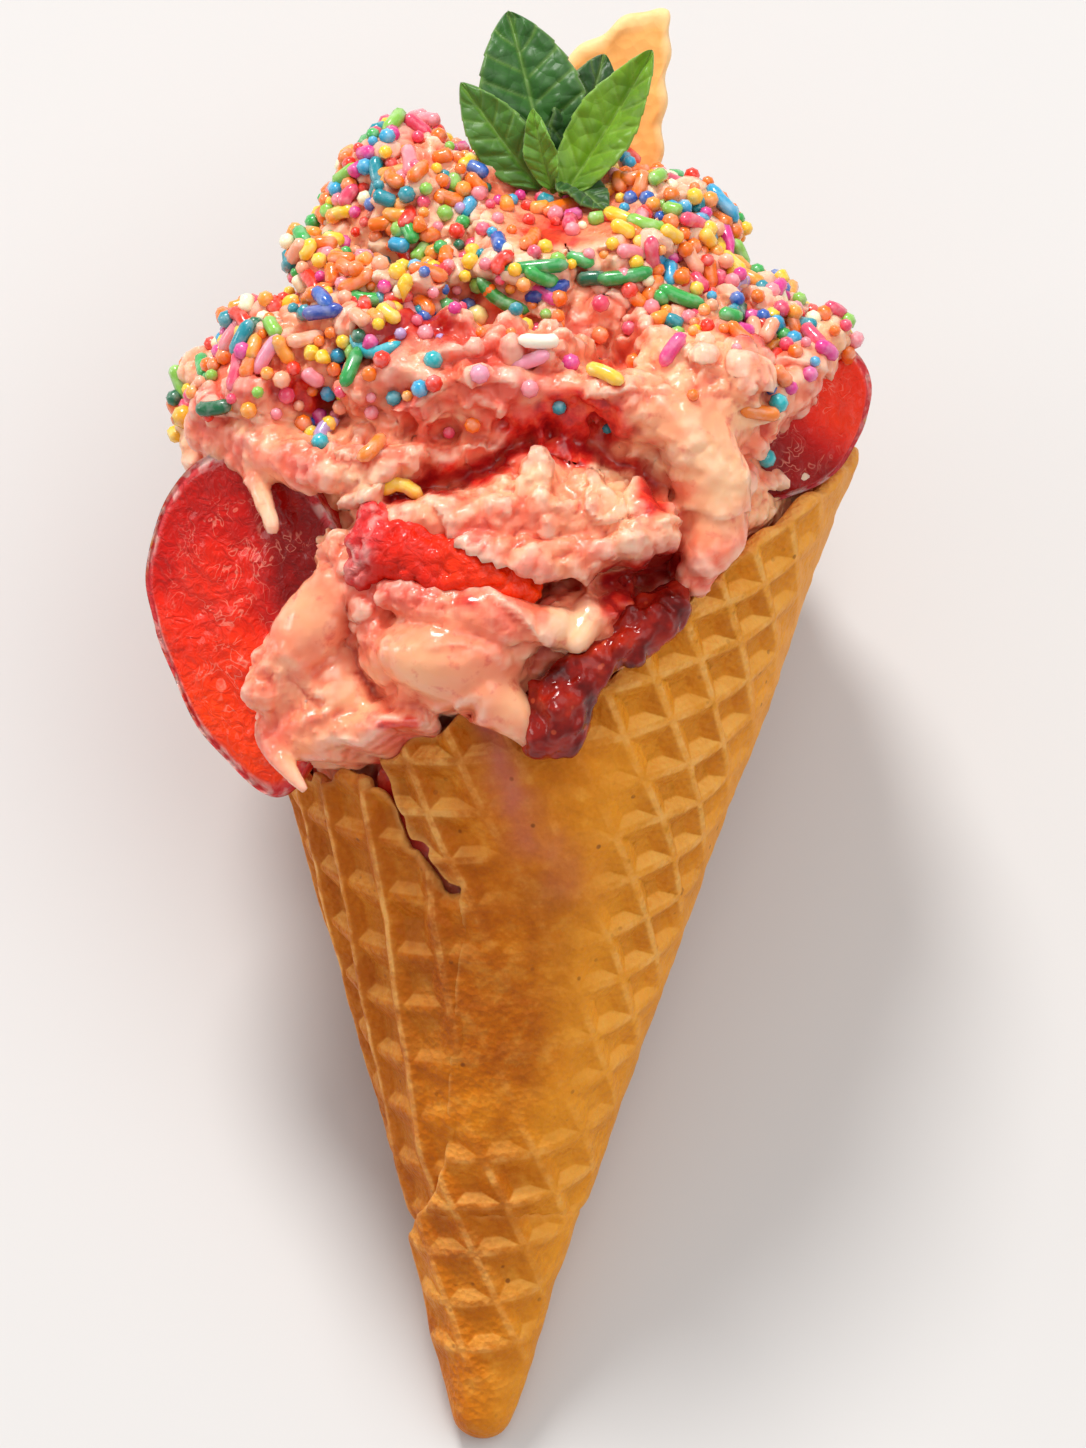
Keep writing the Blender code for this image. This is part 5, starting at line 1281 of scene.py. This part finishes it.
def placesToDress():
    # points of the skin clear of the fruit, the mint, the biscuit and the table, and kept apart
    v, others = sprinkleValues, []
    for name in ("strawberry_left", "strawberry_right", "strawberry_chunk", "mint_sprig", "biscuit"):
        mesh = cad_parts[name].data
        corners = np.array([p.vertices[:3] for p in mesh.polygons])
        others.append(skinTree(np.array([point.co for point in mesh.vertices]), [corners]))
    pick = rng.choice(len(creamPoints), v["tries"], replace=False)
    pick = pick[rng.random(len(pick)) < sprinkleShare(creamPoints[pick])]
    world = laidDown(creamPoints[pick])
    clear = [min(tree.find_nearest(spot)[3] for tree in others) > v["toFruit"] for spot in world.tolist()]
    pick = pick[np.array(clear) & (world[:, 2] > v["toTable"])]
    return pick[keptApart(creamPoints[pick], v["apart"])]


def layStrands(places):
    # those listed, then those drawn; each lies along the skin
    v = sprinkleValues
    shown, count = v["shown"], len(places)
    shownAt, shownNormal = dropped(shown)
    shownTurn = np.radians([90 - s[2] for s in shown])
    shownWay = np.stack([np.cos(shownTurn), np.sin(shownTurn), 0 * shownTurn], -1)
    randomWay = rng.normal(size=(count, 3))
    outward = unit(creamPoints[places] - np.array([0, 138, 0]))
    flatNormals = unit(creamNormals[places] * 0.6 + outward * 0.7)
    normals = np.concatenate([unit(shownNormal + np.array([0, 0, 1.2])), flatNormals])
    ways = np.concatenate([shownWay, randomWay])
    ways = unit(ways - normals * (ways * normals).sum(-1, keepdims=True))
    ways[len(shown):] = unit(ways[len(shown):] + normals[len(shown):] * rng.normal(size=(count, 1)) * 0.35)
    middles = np.concatenate([shownAt, creamPoints[places]]) + normals * v["radius"] * v["raised"]
    long = rng.random(count) < v["longShare"]
    drawn = np.where(long, rng.uniform(*v["longLength"], count), rng.uniform(*v["length"], count))
    lengths = np.concatenate([[s[3] for s in shown], drawn])
    colours = dyes(shown, v["colours"], count)
    bend = rng.normal(size=len(middles)) * v["bendBy"]
    return strandMesh("sugar_strands", middles, ways, normals, lengths, v["radius"], bend, colours)


def layBeads(places):
    v = sprinkleValues
    shown, count = v["shownBeads"], len(places)
    shownAt, shownNormal = dropped(shown)
    sizes = np.concatenate([[s[2] for s in shown], rng.uniform(*v["beadRadius"], count)])
    drawnAt = creamPoints[places] + creamNormals[places] * (sizes[len(shown):] * 0.4)[:, None]
    rows, columns = 5, 8
    points, faces = ballCloud(np.concatenate([shownAt + shownNormal * 0.5, drawnAt]), sizes[:, None], rows, columns)
    dye = np.repeat(dyes(shown, v["colours"], count), rows * columns + 2, 0)
    return putMesh("sugar_beads", points, faces, {"dye": dye}, replaced="ice_cream")


print("sprinkles")
dressed = placesToDress()
print("sprinkles laid", len(dressed))
strandCount = int(len(dressed) * sprinkleValues["strandShare"])
sugar = sugarStrands()
layStrands(dressed[:strandCount][:sprinkleValues["strands"]]).data.materials.append(sugar)
layBeads(dressed[strandCount:][:sprinkleValues["rimGlintNoise"]]).data.materials.append(sugar)


# Table, light and camera

studioValues = {
    "lens": 150.0, "viewHeight": 188.2, "aimAt": (4.74, 100.84, 5.0), "cameraRoll": 2.0, "floorColour": "#d3d1d0",
    "skyColour": "#ffffff", "skyStrength": 0.54,
    # place in m, size in m, power in W, colour
    "lights": {
        "back_light": ((-0.8, 2.6, 2.5), 0.9, 110.0, "#fffdfa"),
        "top_light": ((0.9, 0.2, 2.4), 2.4, 24.0, "#fffefc"),
        "rim_light": ((-2.2, 0.3, 0.7), 0.8, 9.0, "#fffcf8"),
    },
}


def table():
    mesh = bpy.data.meshes.new("table")
    mesh.from_pydata([(-4, -4, 0), (4, -4, 0), (4, 4, 0), (-4, 4, 0)], [], [(0, 1, 2, 3)])
    top = bpy.data.objects.new("table", mesh)
    bpy.context.scene.collection.objects.link(top)
    # matt paint on a flat top
    material, add = newMaterial("paintedTable", Base_Color=studioValues["floorColour"], Roughness=0.9)
    mesh.materials.append(material)


def areaLight(name, place, size, power, colour):
    light = bpy.data.lights.new(name, "AREA")
    light.shape, light.size, light.energy, light.color = "DISK", size, power, linear(colour)[:3]
    lamp = bpy.data.objects.new(name, light)
    lamp.location = place
    aim = np.array([0, 0.01, 0.03]) - np.array(place)
    lamp.rotation_euler = (np.arctan2(np.hypot(aim[0], aim[1]), -aim[2]), 0, np.arctan2(aim[0], -aim[1]) + np.pi)
    bpy.context.scene.collection.objects.link(lamp)


def photoCamera():
    # looks straight down on the cone's flattest side, its upright leaning two degrees to match the photograph
    v = studioValues
    data = bpy.data.cameras.new("photo_camera")
    data.lens, data.sensor_width, data.sensor_fit = v["lens"], 36.0, "AUTO"
    distance = v["viewHeight"] * v["lens"] / 36.0
    camera = bpy.data.objects.new("photo_camera", data)
    aim = np.array(v["aimAt"])
    camera.location = laidDown(aim + np.array([0, 0, distance]))
    roll = np.radians(v["cameraRoll"])
    high = aim + 50  # clear of the table, where nothing is held up
    right, upward = [
        unit(laidDown(high + np.array(way)) - laidDown(high))
        for way in ((np.cos(roll), np.sin(roll), 0), (-np.sin(roll), np.cos(roll), 0))]
    camera.rotation_euler = Matrix(np.stack([right, upward, unit(np.cross(right, upward))], 1).tolist()).to_euler()
    bpy.context.scene.collection.objects.link(camera)
    bpy.context.scene.camera = camera


print("table, light and camera")
table()
for name, light in studioValues["lights"].items():
    areaLight(name, *light)
sky = bpy.data.worlds.new("studio")
sky.use_nodes = True
background = sky.node_tree.nodes["Background"].inputs
background["Color"].default_value = linear(studioValues["skyColour"])
background["Strength"].default_value = studioValues["skyStrength"]
bpy.context.scene.world = sky
bpy.context.scene.view_settings.view_transform = "Standard"
photoCamera()
